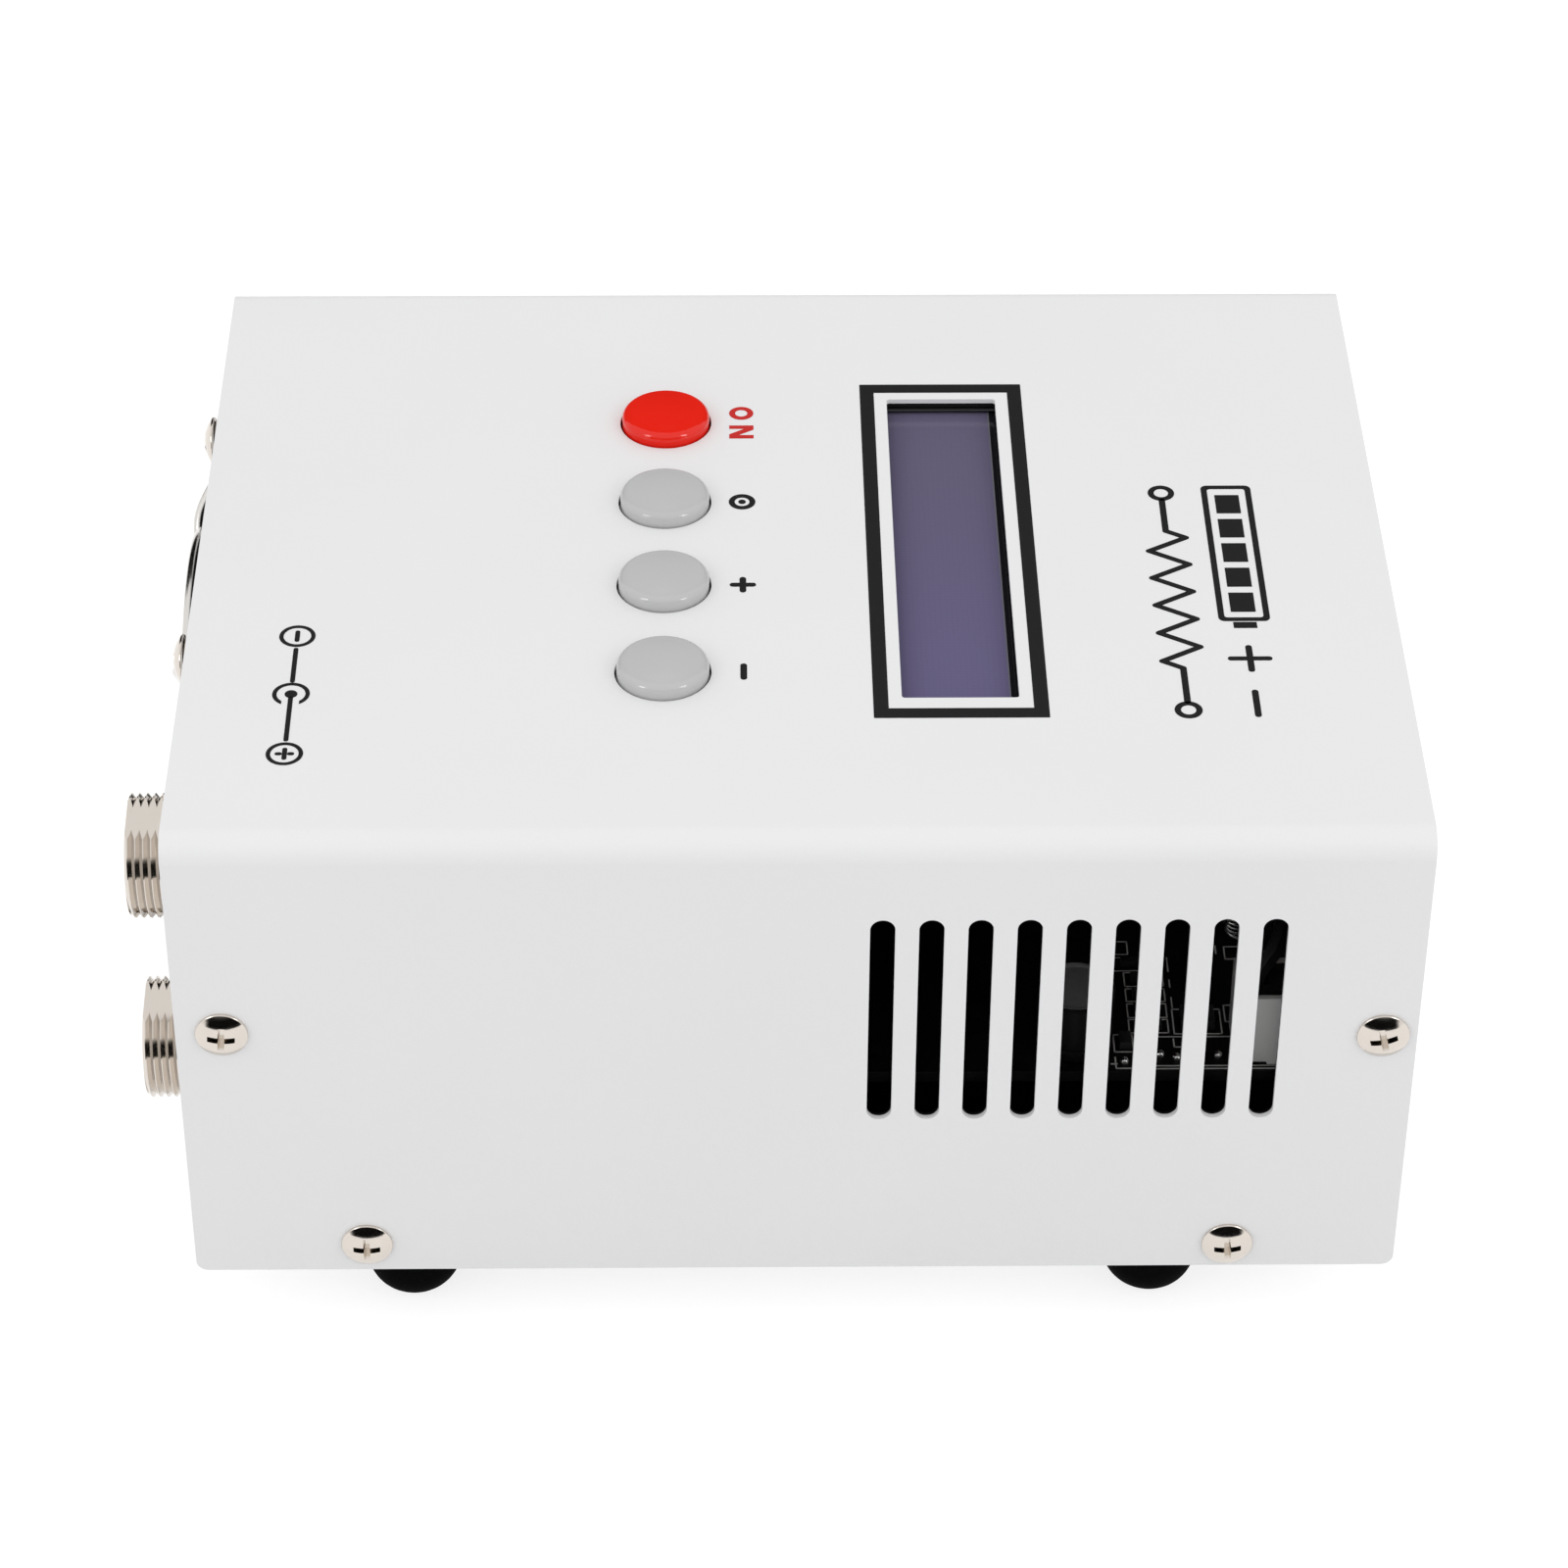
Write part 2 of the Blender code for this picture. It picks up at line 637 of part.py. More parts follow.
def cover_studs():
    """Threaded studs under the cover's top, pressed into the sheet."""
    body = bmesh.new()
    top = COVER_UNDERSIDE + FUSE
    bottom = CONTROL_BOARD_TOP + SEAT_GAP
    for place in control_board_holes():
        profile = stud_profile(top, bottom)
        turned(body, "Z", place, profile, STANDOFF_SIDES)
    return body


def stud_profile(root, tip):
    """Half-section of a hexagonal stud with a threaded hole in its tip."""
    depth = tip + (root - tip) * 0.8
    return [
        (0, root),
        (STANDOFF_RADIUS, root),
        (STANDOFF_RADIUS, tip),
        (STANDOFF_THREAD_RADIUS, tip),
        (STANDOFF_THREAD_RADIUS, depth),
        (0, depth),
    ]


def build_cover():
    """The U-shaped cover: top and two long walls, with slots, window, key holes and studs."""
    body = prism(bmesh.new(), "Y", cover_section(), -HALF_LENGTH, HALF_LENGTH)

    def lower_corner(a, b):
        return a.z < FUSE and b.z < FUSE and abs(a.y - b.y) < FUSE

    bevel_where(body, lower_corner, COVER_CORNER, 3)
    mesh = carved(
        body, ("DIFFERENCE", side_holes()), ("DIFFERENCE", top_holes()), ("UNION", cover_studs())
    )
    add_part("cover", mesh, "white_powder_coat")


def tray(shrink, bend, top):
    """A block with round upright and lower edges, open or closed by what it is used for."""
    across = CHASSIS_HALF_WIDTH - shrink
    along = -FRONT_PANEL - shrink
    bottom = FLOOR_RISE + shrink
    body = block(bmesh.new(), (-across, -along, bottom), (across, along, top))

    def folded(a, b):
        upright = abs(a.z - b.z) > FUSE
        lower = a.z < bottom + FUSE and b.z < bottom + FUSE
        return upright or lower

    return bevel_where(body, folded, bend, 3)


def side_windows():
    """What is left open in the chassis's long sides, between flanges and lips."""
    body = bmesh.new()
    end = -FRONT_PANEL
    flange = end - FLANGE
    relief = flange - SHEET
    foot = FLOOR_RISE - OVERRUN
    lip = FLOOR_RISE + LIP
    notch = FLOOR_RISE + CORNER_RELIEF
    sky = CHASSIS_TOP + OVERRUN
    over = end + OVERRUN
    outline = [(-over, foot), (-relief, foot), (-relief, lip), (relief, lip), (relief, foot)]
    outline += [(over, foot), (over, notch), (flange, notch), (flange, sky)]
    outline += [(-flange, sky), (-flange, notch), (-over, notch)]
    inner = CHASSIS_HALF_WIDTH - CHASSIS_BEND
    outer = CHASSIS_HALF_WIDTH + OVERRUN
    prism(body, "X", outline, inner, outer)
    prism(body, "X", outline, -outer, -inner)
    return body


def top_corners():
    """Corners taken off the end panels, to clear the bends of the cover."""
    body = bmesh.new()
    clear = COVER_BEND - SHEET
    edge = CHASSIS_HALF_WIDTH + OVERRUN
    sky = CHASSIS_TOP + OVERRUN
    for side in (1, -1):
        outline = [
            (side * edge, sky),
            (side * (edge - clear - 2 * OVERRUN), sky),
            (side * edge, sky - clear - 2 * OVERRUN),
        ]
        prism(body, "Y", outline, -HALF_LENGTH, HALF_LENGTH)
    return body


def chassis_holes():
    """Round holes and slots of the end panels, the floor and the flanges."""
    body = bmesh.new()
    front, behind = FRONT_PANEL - OVERRUN, FRONT_PANEL + SHEET + OVERRUN
    prism(body, "Y", circle((FAN_X, FAN_HEIGHT), FAN_BORE_RADIUS, FINE), front, behind)
    for place in fan_corners():
        prism(body, "Y", circle(place, FAN_HOLE_RADIUS, COARSE), front, behind)
    for height in SOCKET_HEIGHTS:
        hole = flatted_circle(
            (SOCKET_X, height),
            SOCKET_RADIUS + SEAT_GAP,
            SOCKET_FLAT_WIDTH,
            SOCKET_FLAT_TILT,
            MEDIUM,
        )
        prism(body, "Y", hole, front, behind)
    for number in range(REAR_SLOT_COUNT):
        across = (number - (REAR_SLOT_COUNT - 1) / 2) * SLOT_PITCH
        vent = slot((across, SLOT_HEIGHT), SLOT_WIDTH, SLOT_LENGTH)
        prism(body, "Y", vent, -behind, -front)
    for _, across, along in foot_places():
        hole = circle((across, along), FOOT_NECK_RADIUS + SEAT_GAP, COARSE)
        prism(body, "Z", hole, FLOOR_RISE - OVERRUN, FLOOR_TOP + OVERRUN)
    for _, side, length, height in cover_screw_places():
        hole = circle((length, height), SCREW_HOLE_RADIUS, COARSE)
        wall = CHASSIS_HALF_WIDTH
        low, high = sorted((side * (wall - SHEET - OVERRUN), side * (wall + OVERRUN)))
        prism(body, "X", hole, low, high)
    return body


def floor_standoffs():
    """Tall threaded standoffs pressed into the floor, under the main board."""
    body = bmesh.new()
    root = FLOOR_TOP - FUSE
    tip = MAIN_BOARD_TOP - BOARD_THICKNESS - SEAT_GAP
    for place in main_board_holes():
        turned(body, "Z", place, stud_profile(root, tip), STANDOFF_SIDES)
    return body


def build_chassis():
    """The chassis: floor and both end panels folded up, with flanges, lips and standoffs."""
    hollow = tray(SHEET, CHASSIS_BEND - SHEET, CHASSIS_TOP + OVERRUN)
    mesh = carved(
        tray(0, CHASSIS_BEND, CHASSIS_TOP),
        ("DIFFERENCE", hollow),
        ("DIFFERENCE", side_windows()),
        ("DIFFERENCE", top_corners()),
        ("DIFFERENCE", chassis_holes()),
        ("UNION", floor_standoffs()),
    )
    add_part("chassis", mesh, "white_powder_coat")


def screw_mesh(axis, direction, length, head_radius, head_height, steps):
    """A domed pan-head screw whose head faces along the direction and seats at the origin."""
    rise = head_height - SCREW_HEAD_EDGE
    profile = [
        (0, direction * head_height),
        (head_radius * 0.5, direction * (head_height - rise * 0.22)),
        (head_radius * 0.85, direction * (head_height - rise * 0.68)),
        (head_radius, direction * SCREW_HEAD_EDGE),
        (head_radius, 0),
        (SCREW_RADIUS, 0),
        (SCREW_RADIUS, -direction * (length - SCREW_RADIUS)),
        (0, -direction * length),
    ]
    return mesh_of(turned(bmesh.new(), axis, (0, 0), profile, steps), "screw")


def build_cover_screws():
    """Eight screws through the cover's walls into the chassis's flanges and lips."""
    meshes = {
        side: screw_mesh("X", side, COVER_SCREW_LENGTH, SCREW_HEAD_RADIUS, SCREW_HEAD_HEIGHT, COARSE)
        for side in (1, -1)
    }
    for name, side, length, height in cover_screw_places():
        place = (side * (HALF_WIDTH + SEAT_GAP), length, height)
        add_part(f"cover_screw_{name}", meshes[side], "nickel", place)


def build_feet():
    """Four push-in rubber feet: a domed foot, a neck through the floor and a barb above it."""
    flare = FOOT_RADIUS - FOOT_FLAT_RADIUS
    bottom = -FOOT_HEIGHT
    dome = arc((FOOT_FLAT_RADIUS, bottom + FOOT_DOME), flare, -90, 0, 3, FOOT_DOME / flare)
    seat = FLOOR_RISE - SEAT_GAP
    barb = FLOOR_TOP + SEAT_GAP
    profile = [(0, bottom)] + dome + [(FOOT_RADIUS, seat), (FOOT_NECK_RADIUS, seat)]
    profile += [(FOOT_NECK_RADIUS, barb), (FOOT_BARB_RADIUS, barb)]
    profile += [(FOOT_BARB_TIP_RADIUS, barb + FOOT_BARB_HEIGHT), (0, barb + FOOT_BARB_HEIGHT)]
    mesh = mesh_of(turned(bmesh.new(), "Z", (0, 0), profile, MEDIUM), "foot")
    for name, across, along in foot_places():
        add_part(f"foot_{name}", mesh, "black_rubber", (across, along, 0))


def fan_plates():
    """The fan frame's two square flanges."""
    body = bmesh.new()
    half = FAN_SIZE / 2
    outline = rounded_rectangle((-half, -half), (half, half), FAN_CORNER)
    prism(body, "Y", outline, 0, FAN_FLANGE)
    prism(body, "Y", outline, FAN_DEPTH - FAN_FLANGE, FAN_DEPTH)
    return body


def fan_bores():
    """The air bore and the four screw holes of the fan frame."""
    body = bmesh.new()
    half = FAN_HOLE_SPACING / 2
    low, high = -OVERRUN, FAN_DEPTH + OVERRUN
    prism(body, "Y", circle((0, 0), FAN_BORE_RADIUS, FINE), low, high)
    for across, up in ((half, half), (-half, half), (-half, -half), (half, -half)):
        prism(body, "Y", circle((across, up), FAN_HOLE_RADIUS, COARSE), low, high)
    return body


def motor_base():
    """The disc and stator in the middle of the fan frame."""
    back = FAN_DEPTH - FUSE
    face = back - MOTOR_BASE
    crown = HUB_SETBACK + HUB_WALL + STATOR_TOP_GAP
    profile = [(0, crown), (STATOR_RADIUS, crown), (STATOR_RADIUS, face)]
    profile += [(HUB_RADIUS, face), (HUB_RADIUS, back), (0, back)]
    return turned(bmesh.new(), "Y", (0, 0), profile, MEDIUM)


def fan_struts():
    """Slanted struts from the motor base out to the frame."""
    body = bmesh.new()
    back = FAN_DEPTH - 2 * FUSE
    for number in range(STRUT_COUNT):
        start = math.radians(20 + 360 * number / STRUT_COUNT)
        end = start + math.radians(24)
        inner = Vector((math.cos(start), math.sin(start))) * (HUB_RADIUS - 2 * FUSE)
        outer = Vector((math.cos(end), math.sin(end))) * (FAN_BORE_RADIUS + FUSE)
        run = outer - inner
        side = Vector((-run.y, run.x)).normalized() * STRUT_WIDTH / 2
        outline = [inner + side, inner - side, outer - side, outer + side]
        prism(body, "Y", [tuple(point) for point in outline], back - STRUT_DEPTH, back)
    return body


def shaft_bore():
    """The bearing hole in the stator."""
    reach = HUB_SETBACK
    bore = circle((0, 0), SHAFT_RADIUS + SEAT_GAP, COARSE)
    return prism(bmesh.new(), "Y", bore, reach, FAN_DEPTH - FUSE - SHEET)


def build_fan_frame():
    """The fan's square frame, with bracket, struts and stator."""
    barrel = circle((0, 0), FAN_BORE_RADIUS + FAN_WALL, FINE)
    mesh = carved(
        prism(bmesh.new(), "Y", barrel, 0, FAN_DEPTH),
        ("UNION", fan_plates()),
        ("DIFFERENCE", fan_bores()),
        ("UNION", motor_base()),
        ("UNION", fan_struts()),
        ("DIFFERENCE", shaft_bore()),
    )
    add_part("fan_frame", mesh, "black_moulding", (FAN_X, FAN_FRONT, FAN_HEIGHT))


def blade_section(radius, share, start_angle):
    """One closed, cambered section of a blade, wrapped on a cylinder of the given radius."""
    chord = BLADE_CHORD_ROOT + (BLADE_CHORD_TIP - BLADE_CHORD_ROOT) * share
    pitch = math.radians(BLADE_PITCH_ROOT + (BLADE_PITCH_TIP - BLADE_PITCH_ROOT) * share)
    lead = math.radians(start_angle + BLADE_SWEEP * share)
    middle = HUB_SETBACK + HUB_DEPTH / 2
    points = []
    for face in (1, -1):
        for number in range(BLADE_POINTS + 1):
            t = number / BLADE_POINTS if face > 0 else 1 - number / BLADE_POINTS
            if face < 0 and number in (0, BLADE_POINTS):
                continue
            run = (t - 0.5) * chord
            lens = 4 * t * (1 - t)
            rise = BLADE_CAMBER * lens + face * BLADE_THICKNESS / 2 * math.sqrt(lens)
            around = run * math.cos(pitch) - rise * math.sin(pitch)
            along = run * math.sin(pitch) + rise * math.cos(pitch)
            angle = lead + around / radius
            spot = (radius * math.cos(angle), middle + along, radius * math.sin(angle))
            points.append(Vector(spot))
    return points


def blades():
    """Twisted, swept fan blades, lofted from the hub's wall out to their tips."""
    body = bmesh.new()
    root = HUB_RADIUS - HUB_WALL / 2
    tip = FAN_BORE_RADIUS - BLADE_TIP_GAP
    for blade in range(BLADE_COUNT):
        start_angle = 360 * blade / BLADE_COUNT
        loops = []
        for section in range(BLADE_SECTIONS):
            share = section / (BLADE_SECTIONS - 1)
            outline = blade_section(root + (tip - root) * share, share, start_angle)
            corners = [body.verts.new(point) for point in outline]
            pairs = zip(corners, corners[1:] + corners[:1])
            loops.append((corners, [body.edges.new(pair) for pair in pairs]))
        for (_, inner), (_, outer) in zip(loops, loops[1:]):
            bmesh.ops.bridge_loops(body, edges=inner + outer)
        body.faces.new(loops[0][0])
        body.faces.new(loops[-1][0])
    bmesh.ops.recalc_face_normals(body, faces=body.faces[:])
    return body


def hub_profile():
    """Half-section of the rotor's cup and shaft."""
    face = HUB_SETBACK
    rim = FAN_DEPTH - FUSE - MOTOR_BASE - ROTOR_RUNNING_GAP
    shaft_end = rim + MOTOR_BASE / 2
    shoulder = arc((HUB_RADIUS - HUB_ROUND, face + HUB_ROUND), HUB_ROUND, -90, 0, 2)
    profile = [(0, face)] + shoulder + [(HUB_RADIUS, rim), (HUB_RADIUS - HUB_WALL, rim)]
    profile += [(HUB_RADIUS - HUB_WALL, face + HUB_WALL), (SHAFT_RADIUS, face + HUB_WALL)]
    return profile + [(SHAFT_RADIUS, shaft_end), (0, shaft_end)]


def build_fan_rotor():
    """The fan wheel: a cup on a shaft with seven twisted blades, on the fan's own axis."""
    hub = turned(bmesh.new(), "Y", (0, 0), hub_profile(), MEDIUM)
    mesh = carved(hub, ("UNION", blades()))
    add_part("fan_rotor", mesh, "black_moulding", (FAN_X, FAN_FRONT, FAN_HEIGHT))


def guard_ring(radius, steps):
    """One ring of the finger guard, turned so that no corner lies under a leg."""
    height = FRONT_PANEL - GUARD_STAND
    step = 360 / steps
    first = GUARD_LEG_ANGLE + step / 2
    outline = arc((0, 0), radius, first, first + 360 - step, steps - 1)
    spots = [(FAN_X + u, height, FAN_HEIGHT + v) for u, v in outline]
    return wire_body(spots, WIRE_RADIUS, 1, cyclic=True)


def guard_leg(number):
    """One leg: out over the rings, down to the panel and round its screw in an eyelet."""
    outward = math.radians(GUARD_LEG_ANGLE + 90 * number)
    over = FRONT_PANEL - GUARD_STAND - 2 * WIRE_RADIUS + GUARD_WELD
    eye = FAN_HOLE_SPACING / 2 * math.sqrt(2)
    eyelet = SCREW_RADIUS + SEAT_GAP + WIRE_RADIUS
    touch = eye - eyelet
    drop = GUARD_SEAT - over
    inner = GUARD_RINGS[-1] - WIRE_RADIUS
    outer = GUARD_RINGS[0] + 2 * WIRE_RADIUS
    path = [(inner, 0, over), (outer, 0, over)]
    for share in (0.25, 0.5, 0.75):
        out = outer + (touch - outer) * share
        fall = (1 - math.cos(math.pi * share)) / 2
        path.append((out, 0, over + drop * fall))
    for turn in range(EYELET_STEPS + 1):
        angle = math.radians(180 + EYELET_TURN * turn / EYELET_STEPS)
        path.append((eye + eyelet * math.cos(angle), eyelet * math.sin(angle), GUARD_SEAT))
    spots = []
    for out, aside, along in path:
        across = out * math.cos(outward) - aside * math.sin(outward)
        up = out * math.sin(outward) + aside * math.cos(outward)
        spots.append((FAN_X + across, along, FAN_HEIGHT + up))
    return wire_body(spots, WIRE_RADIUS, 1)


def build_fan_guard():
    """The finger guard: three rings of wire welded under four legs with eyelets."""
    rings = zip(GUARD_RINGS, GUARD_RING_FACETS)
    parts = [("UNION", guard_ring(radius, steps)) for radius, steps in rings]
    parts += [("UNION", guard_leg(number)) for number in range(1, 4)]
    add_part("fan_guard", carved(guard_leg(0), *parts), "chrome_wire")


def build_fan_screws():
    """Four screws through the guard's eyelets and the panel into the fan's frame."""
    mesh = screw_mesh("Y", -1, FAN_SCREW_LENGTH, SCREW_HEAD_RADIUS, SCREW_HEAD_HEIGHT, COARSE)
    for number, (across, height) in enumerate(fan_corners(), 1):
        add_part(f"fan_screw_{number}", mesh, "nickel", (across, FAN_SCREW_SEAT, height))


def socket_shell_mesh():
    """A round socket's shell, its front barrel cut by one long flat."""
    tip = SOCKET_TIP
    flange_end = SOCKET_FLANGE_FRONT + SOCKET_FLANGE
    profile = [
        (SOCKET_MOUTH_RADIUS, tip),
        (SOCKET_RADIUS - SOCKET_CHAMFER, tip),
        (SOCKET_RADIUS, tip + SOCKET_CHAMFER),
        (SOCKET_RADIUS, SOCKET_FLANGE_FRONT),
        (SOCKET_FLANGE_RADIUS, SOCKET_FLANGE_FRONT),
        (SOCKET_FLANGE_RADIUS, flange_end),
        (SOCKET_TAIL_RADIUS, flange_end),
        (SOCKET_TAIL_RADIUS, SOCKET_END),
        (SOCKET_BORE_RADIUS, SOCKET_END),
        (SOCKET_BORE_RADIUS, SOCKET_STEP),
        (SOCKET_MOUTH_RADIUS, SOCKET_STEP),
    ]
    shell = turned(bmesh.new(), "Y", (0, 0), profile, MEDIUM, ring=True)
    flat = math.sqrt(SOCKET_RADIUS**2 - (SOCKET_FLAT_WIDTH / 2) ** 2)
    reach = SOCKET_RADIUS + OVERRUN
    tool = prism(
        bmesh.new(),
        "Y",
        rectangle((-reach, flat), (reach, reach)),
        tip - OVERRUN,
        SOCKET_FLANGE_FRONT - SEAT_GAP / 2,
    )
    tilt = math.radians(SOCKET_FLAT_TILT)
    for vert in tool.verts:
        across, up = vert.co.x, vert.co.z
        vert.co.x = across * math.cos(tilt) + up * math.sin(tilt)
        vert.co.z = up * math.cos(tilt) - across * math.sin(tilt)
    return carved(shell, ("DIFFERENCE", tool))


def insert_mesh(pin_places, pin_radius):
    """A socket's moulded insert with its contact pins."""
    head = SOCKET_MOUTH_RADIUS - SEAT_GAP
    body_radius = SOCKET_BORE_RADIUS - SEAT_GAP
    shoulder = SOCKET_STEP - SEAT_GAP
    back = SOCKET_END - INSERT_TAIL_INSET
    profile = [(0, INSERT_FACE), (head, INSERT_FACE), (head, shoulder)]
    profile += [(body_radius, shoulder), (body_radius, back), (0, back)]
    insert = turned(bmesh.new(), "Y", (0, 0), profile, MEDIUM)
    pins = bmesh.new()
    for place in pin_places:
        point = INSERT_FACE - PIN_REACH
        pin = [(0, point), (pin_radius * 0.6, point), (pin_radius, point + pin_radius * 0.6)]
        pin += [(pin_radius, PIN_END), (0, PIN_END)]
        turned(pins, "Y", place, pin, 8)
    return carved(insert, ("UNION", pins))


def nut_mesh():
    """A thin hexagonal ring nut, bevelled on its outer face."""
    front = FRONT_PANEL - SEAT_GAP - NUT_THICKNESS
    back = FRONT_PANEL - SEAT_GAP
    corner = NUT_FLATS / math.sqrt(3)
    blank = prism(bmesh.new(), "Y", circle((0, 0), corner, 6), front, back)
    crown = NUT_FLATS / 2
    cone = [(0, front - OVERRUN), (crown - OVERRUN, front - OVERRUN)]
    cone += [(crown + OVERRUN * 2, back), (0, back + OVERRUN)]
    turning = turned(bmesh.new(), "Y", (0, 0), cone, MEDIUM)
    hole = circle((0, 0), SOCKET_RADIUS + SEAT_GAP, MEDIUM)
    bore = prism(bmesh.new(), "Y", hole, front - OVERRUN, back + OVERRUN)
    return carved(blank, ("INTERSECT", turning), ("DIFFERENCE", bore))


def build_sockets():
    """Battery and supply sockets, one over the other."""
    shell = socket_shell_mesh()
    nut = nut_mesh()
    corner = BATTERY_PIN_OFFSET
    battery_pins = [(corner, corner), (-corner, corner), (-corner, -corner), (corner, -corner)]
    supply_pins = [(SUPPLY_PIN_OFFSET, 0), (-SUPPLY_PIN_OFFSET, 0)]
    inserts = (
        insert_mesh(battery_pins, BATTERY_PIN_RADIUS),
        insert_mesh(supply_pins, SUPPLY_PIN_RADIUS),
    )
    for name, height, insert in zip(("battery", "supply"), SOCKET_HEIGHTS, inserts):
        place = (SOCKET_X, 0, height)
        add_part(f"{name}_socket_shell", shell, "nickel", place)
        add_part(f"{name}_socket_nut", nut, "nickel", place)
        add_part(f"{name}_socket_insert", insert, "black_moulding", place)


def display_box(length, width, low, high):
    """A block centred on the display."""
    corner = (length / 2, DISPLAY_Y + width / 2, high)
    return block(bmesh.new(), (-length / 2, DISPLAY_Y - width / 2, low), corner)


def build_display():
    """The display module: sheet frame, glass and backlight, on the control board."""
    sheet = DISPLAY_FRAME_SHEET
    bottom = CONTROL_BOARD_TOP + SEAT_GAP
    inner_length = DISPLAY_LENGTH - 2 * sheet
    inner_width = DISPLAY_WIDTH - 2 * sheet
    ceiling = DISPLAY_TOP - sheet
    frame = display_box(DISPLAY_LENGTH, DISPLAY_WIDTH, bottom, DISPLAY_TOP)
    hollow = display_box(inner_length, inner_width, bottom - OVERRUN, ceiling)
    view = display_box(DISPLAY_VIEW_LENGTH, DISPLAY_VIEW_WIDTH, bottom, DISPLAY_TOP + OVERRUN)
    frame_mesh = carved(frame, ("DIFFERENCE", hollow), ("DIFFERENCE", view))
    add_part("display_frame", frame_mesh, "display_frame")
    length = inner_length - 2 * SEAT_GAP
    width = inner_width - 2 * SEAT_GAP
    glass_top = ceiling - SEAT_GAP
    glass_bottom = glass_top - GLASS_THICKNESS
    glass = display_box(length, width, glass_bottom, glass_top)
    add_part("display_glass", mesh_of(glass, "glass"), "display_glass")
    light = display_box(length, width, bottom, glass_bottom - SEAT_GAP)
    add_part("display_backlight", mesh_of(light, "backlight"), "backlight")


def board_screws(prefix, places, seat, direction):
    """Small screws that hold a board, heads along the direction."""
    mesh = screw_mesh(
        "Z", direction, BOARD_SCREW_LENGTH, BOARD_SCREW_HEAD_RADIUS, BOARD_SCREW_HEAD_HEIGHT, 8
    )
    for number, (across, along) in enumerate(places, 1):
        add_part(f"{prefix}_{number}", mesh, "zinc_screw", (across, along, seat))


def build_control_board():
    """The board under the cover that carries the display and the switches."""
    half = CONTROL_BOARD_LENGTH / 2
    outline = rounded_rectangle(
        (-half, CONTROL_BOARD_FRONT), (half, CONTROL_BOARD_REAR), BOARD_CORNER, 2
    )
    bottom = CONTROL_BOARD_TOP - BOARD_THICKNESS
    board = prism(bmesh.new(), "Z", outline, bottom, CONTROL_BOARD_TOP)
    holes = bmesh.new()
    for place in control_board_holes():
        hole = circle(place, BOARD_HOLE_RADIUS, 8)
        prism(holes, "Z", hole, bottom - OVERRUN, CONTROL_BOARD_TOP + OVERRUN)
    add_part("control_board", carved(board, ("DIFFERENCE", holes)), "black_board")
    board_screws("control_board_screw", control_board_holes(), bottom - SEAT_GAP, -1)


def switch_mesh():
    """A tactile switch's body: chamfered square block with a round well."""
    half = SWITCH_SIZE / 2
    outline = []
    for turn in range(4):
        for across, up in ((half, -half + SWITCH_CHAMFER), (half, half - SWITCH_CHAMFER)):
            for _ in range(turn):
                across, up = -up, across
            outline.append((across, up))
    bottom = CONTROL_BOARD_TOP + SEAT_GAP
    blank = prism(bmesh.new(), "Z", outline, bottom, SWITCH_TOP)
    well = prism(
        bmesh.new(),
        "Z",
        circle((0, 0), SWITCH_WELL_RADIUS, COARSE),
        SWITCH_TOP - SWITCH_WELL_DEPTH,
        SWITCH_TOP + OVERRUN,
    )
    return carved(blank, ("DIFFERENCE", well))


def plunger_mesh():
    """A switch's plunger: round foot in the well, square stem up into the key."""
    foot_radius = SWITCH_WELL_RADIUS - SEAT_GAP
    foot_top = PLUNGER_FOOT + PLUNGER_FOOT_HEIGHT
    foot = prism(bmesh.new(), "Z", circle((0, 0), foot_radius, COARSE), PLUNGER_FOOT, foot_top)
    half = PLUNGER_STEM / 2
    outline = rectangle((-half, -half), (half, half))
    stem = prism(bmesh.new(), "Z", outline, foot_top - FUSE, PLUNGER_TOP)
    return carved(foot, ("UNION", stem))


def key_mesh():
    """A round key: domed cap, collar under the sheet and a square socket for the plunger."""
    top = CASE_HEIGHT + KEY_RISE
    edge = top - KEY_CROWN
    collar_top = COVER_UNDERSIDE - SEAT_GAP
    shoulder = arc((KEY_RADIUS - KEY_ROUND, edge - KEY_ROUND), KEY_ROUND, 90, 0, 2)
    crown_radius = KEY_RADIUS - KEY_ROUND
    profile = [(0, top), (crown_radius * 0.55, top - KEY_CROWN * 0.3)] + shoulder
    profile += [(KEY_RADIUS, collar_top), (KEY_COLLAR_RADIUS, collar_top)]
    profile += [(KEY_COLLAR_RADIUS, collar_top - KEY_COLLAR), (KEY_RADIUS, collar_top - KEY_COLLAR)]
    profile += [(KEY_RADIUS, KEY_BOTTOM), (0, KEY_BOTTOM)]
    blank = turned(bmesh.new(), "Z", (0, 0), profile, MEDIUM)
    half = PLUNGER_STEM / 2 + SEAT_GAP
    outline = rectangle((-half, -half), (half, half))
    socket = prism(bmesh.new(), "Z", outline, KEY_BOTTOM - OVERRUN, PLUNGER_TOP + SEAT_GAP)
    return carved(blank, ("DIFFERENCE", socket))


def build_keys():
    """Four keys over four tactile switches: one red, three grey."""
    key, switch, plunger = key_mesh(), switch_mesh(), plunger_mesh()
    for number, name in enumerate(KEY_NAMES):
        place = (key_x(number), KEY_Y, 0)
        finish = "red_key" if number == 0 else "grey_key"
        add_part(f"key_{name}", key.copy(), finish, place)
        add_part(f"switch_{name}", switch, "switch_body", place)
        add_part(f"plunger_{name}", plunger, "plunger", place)


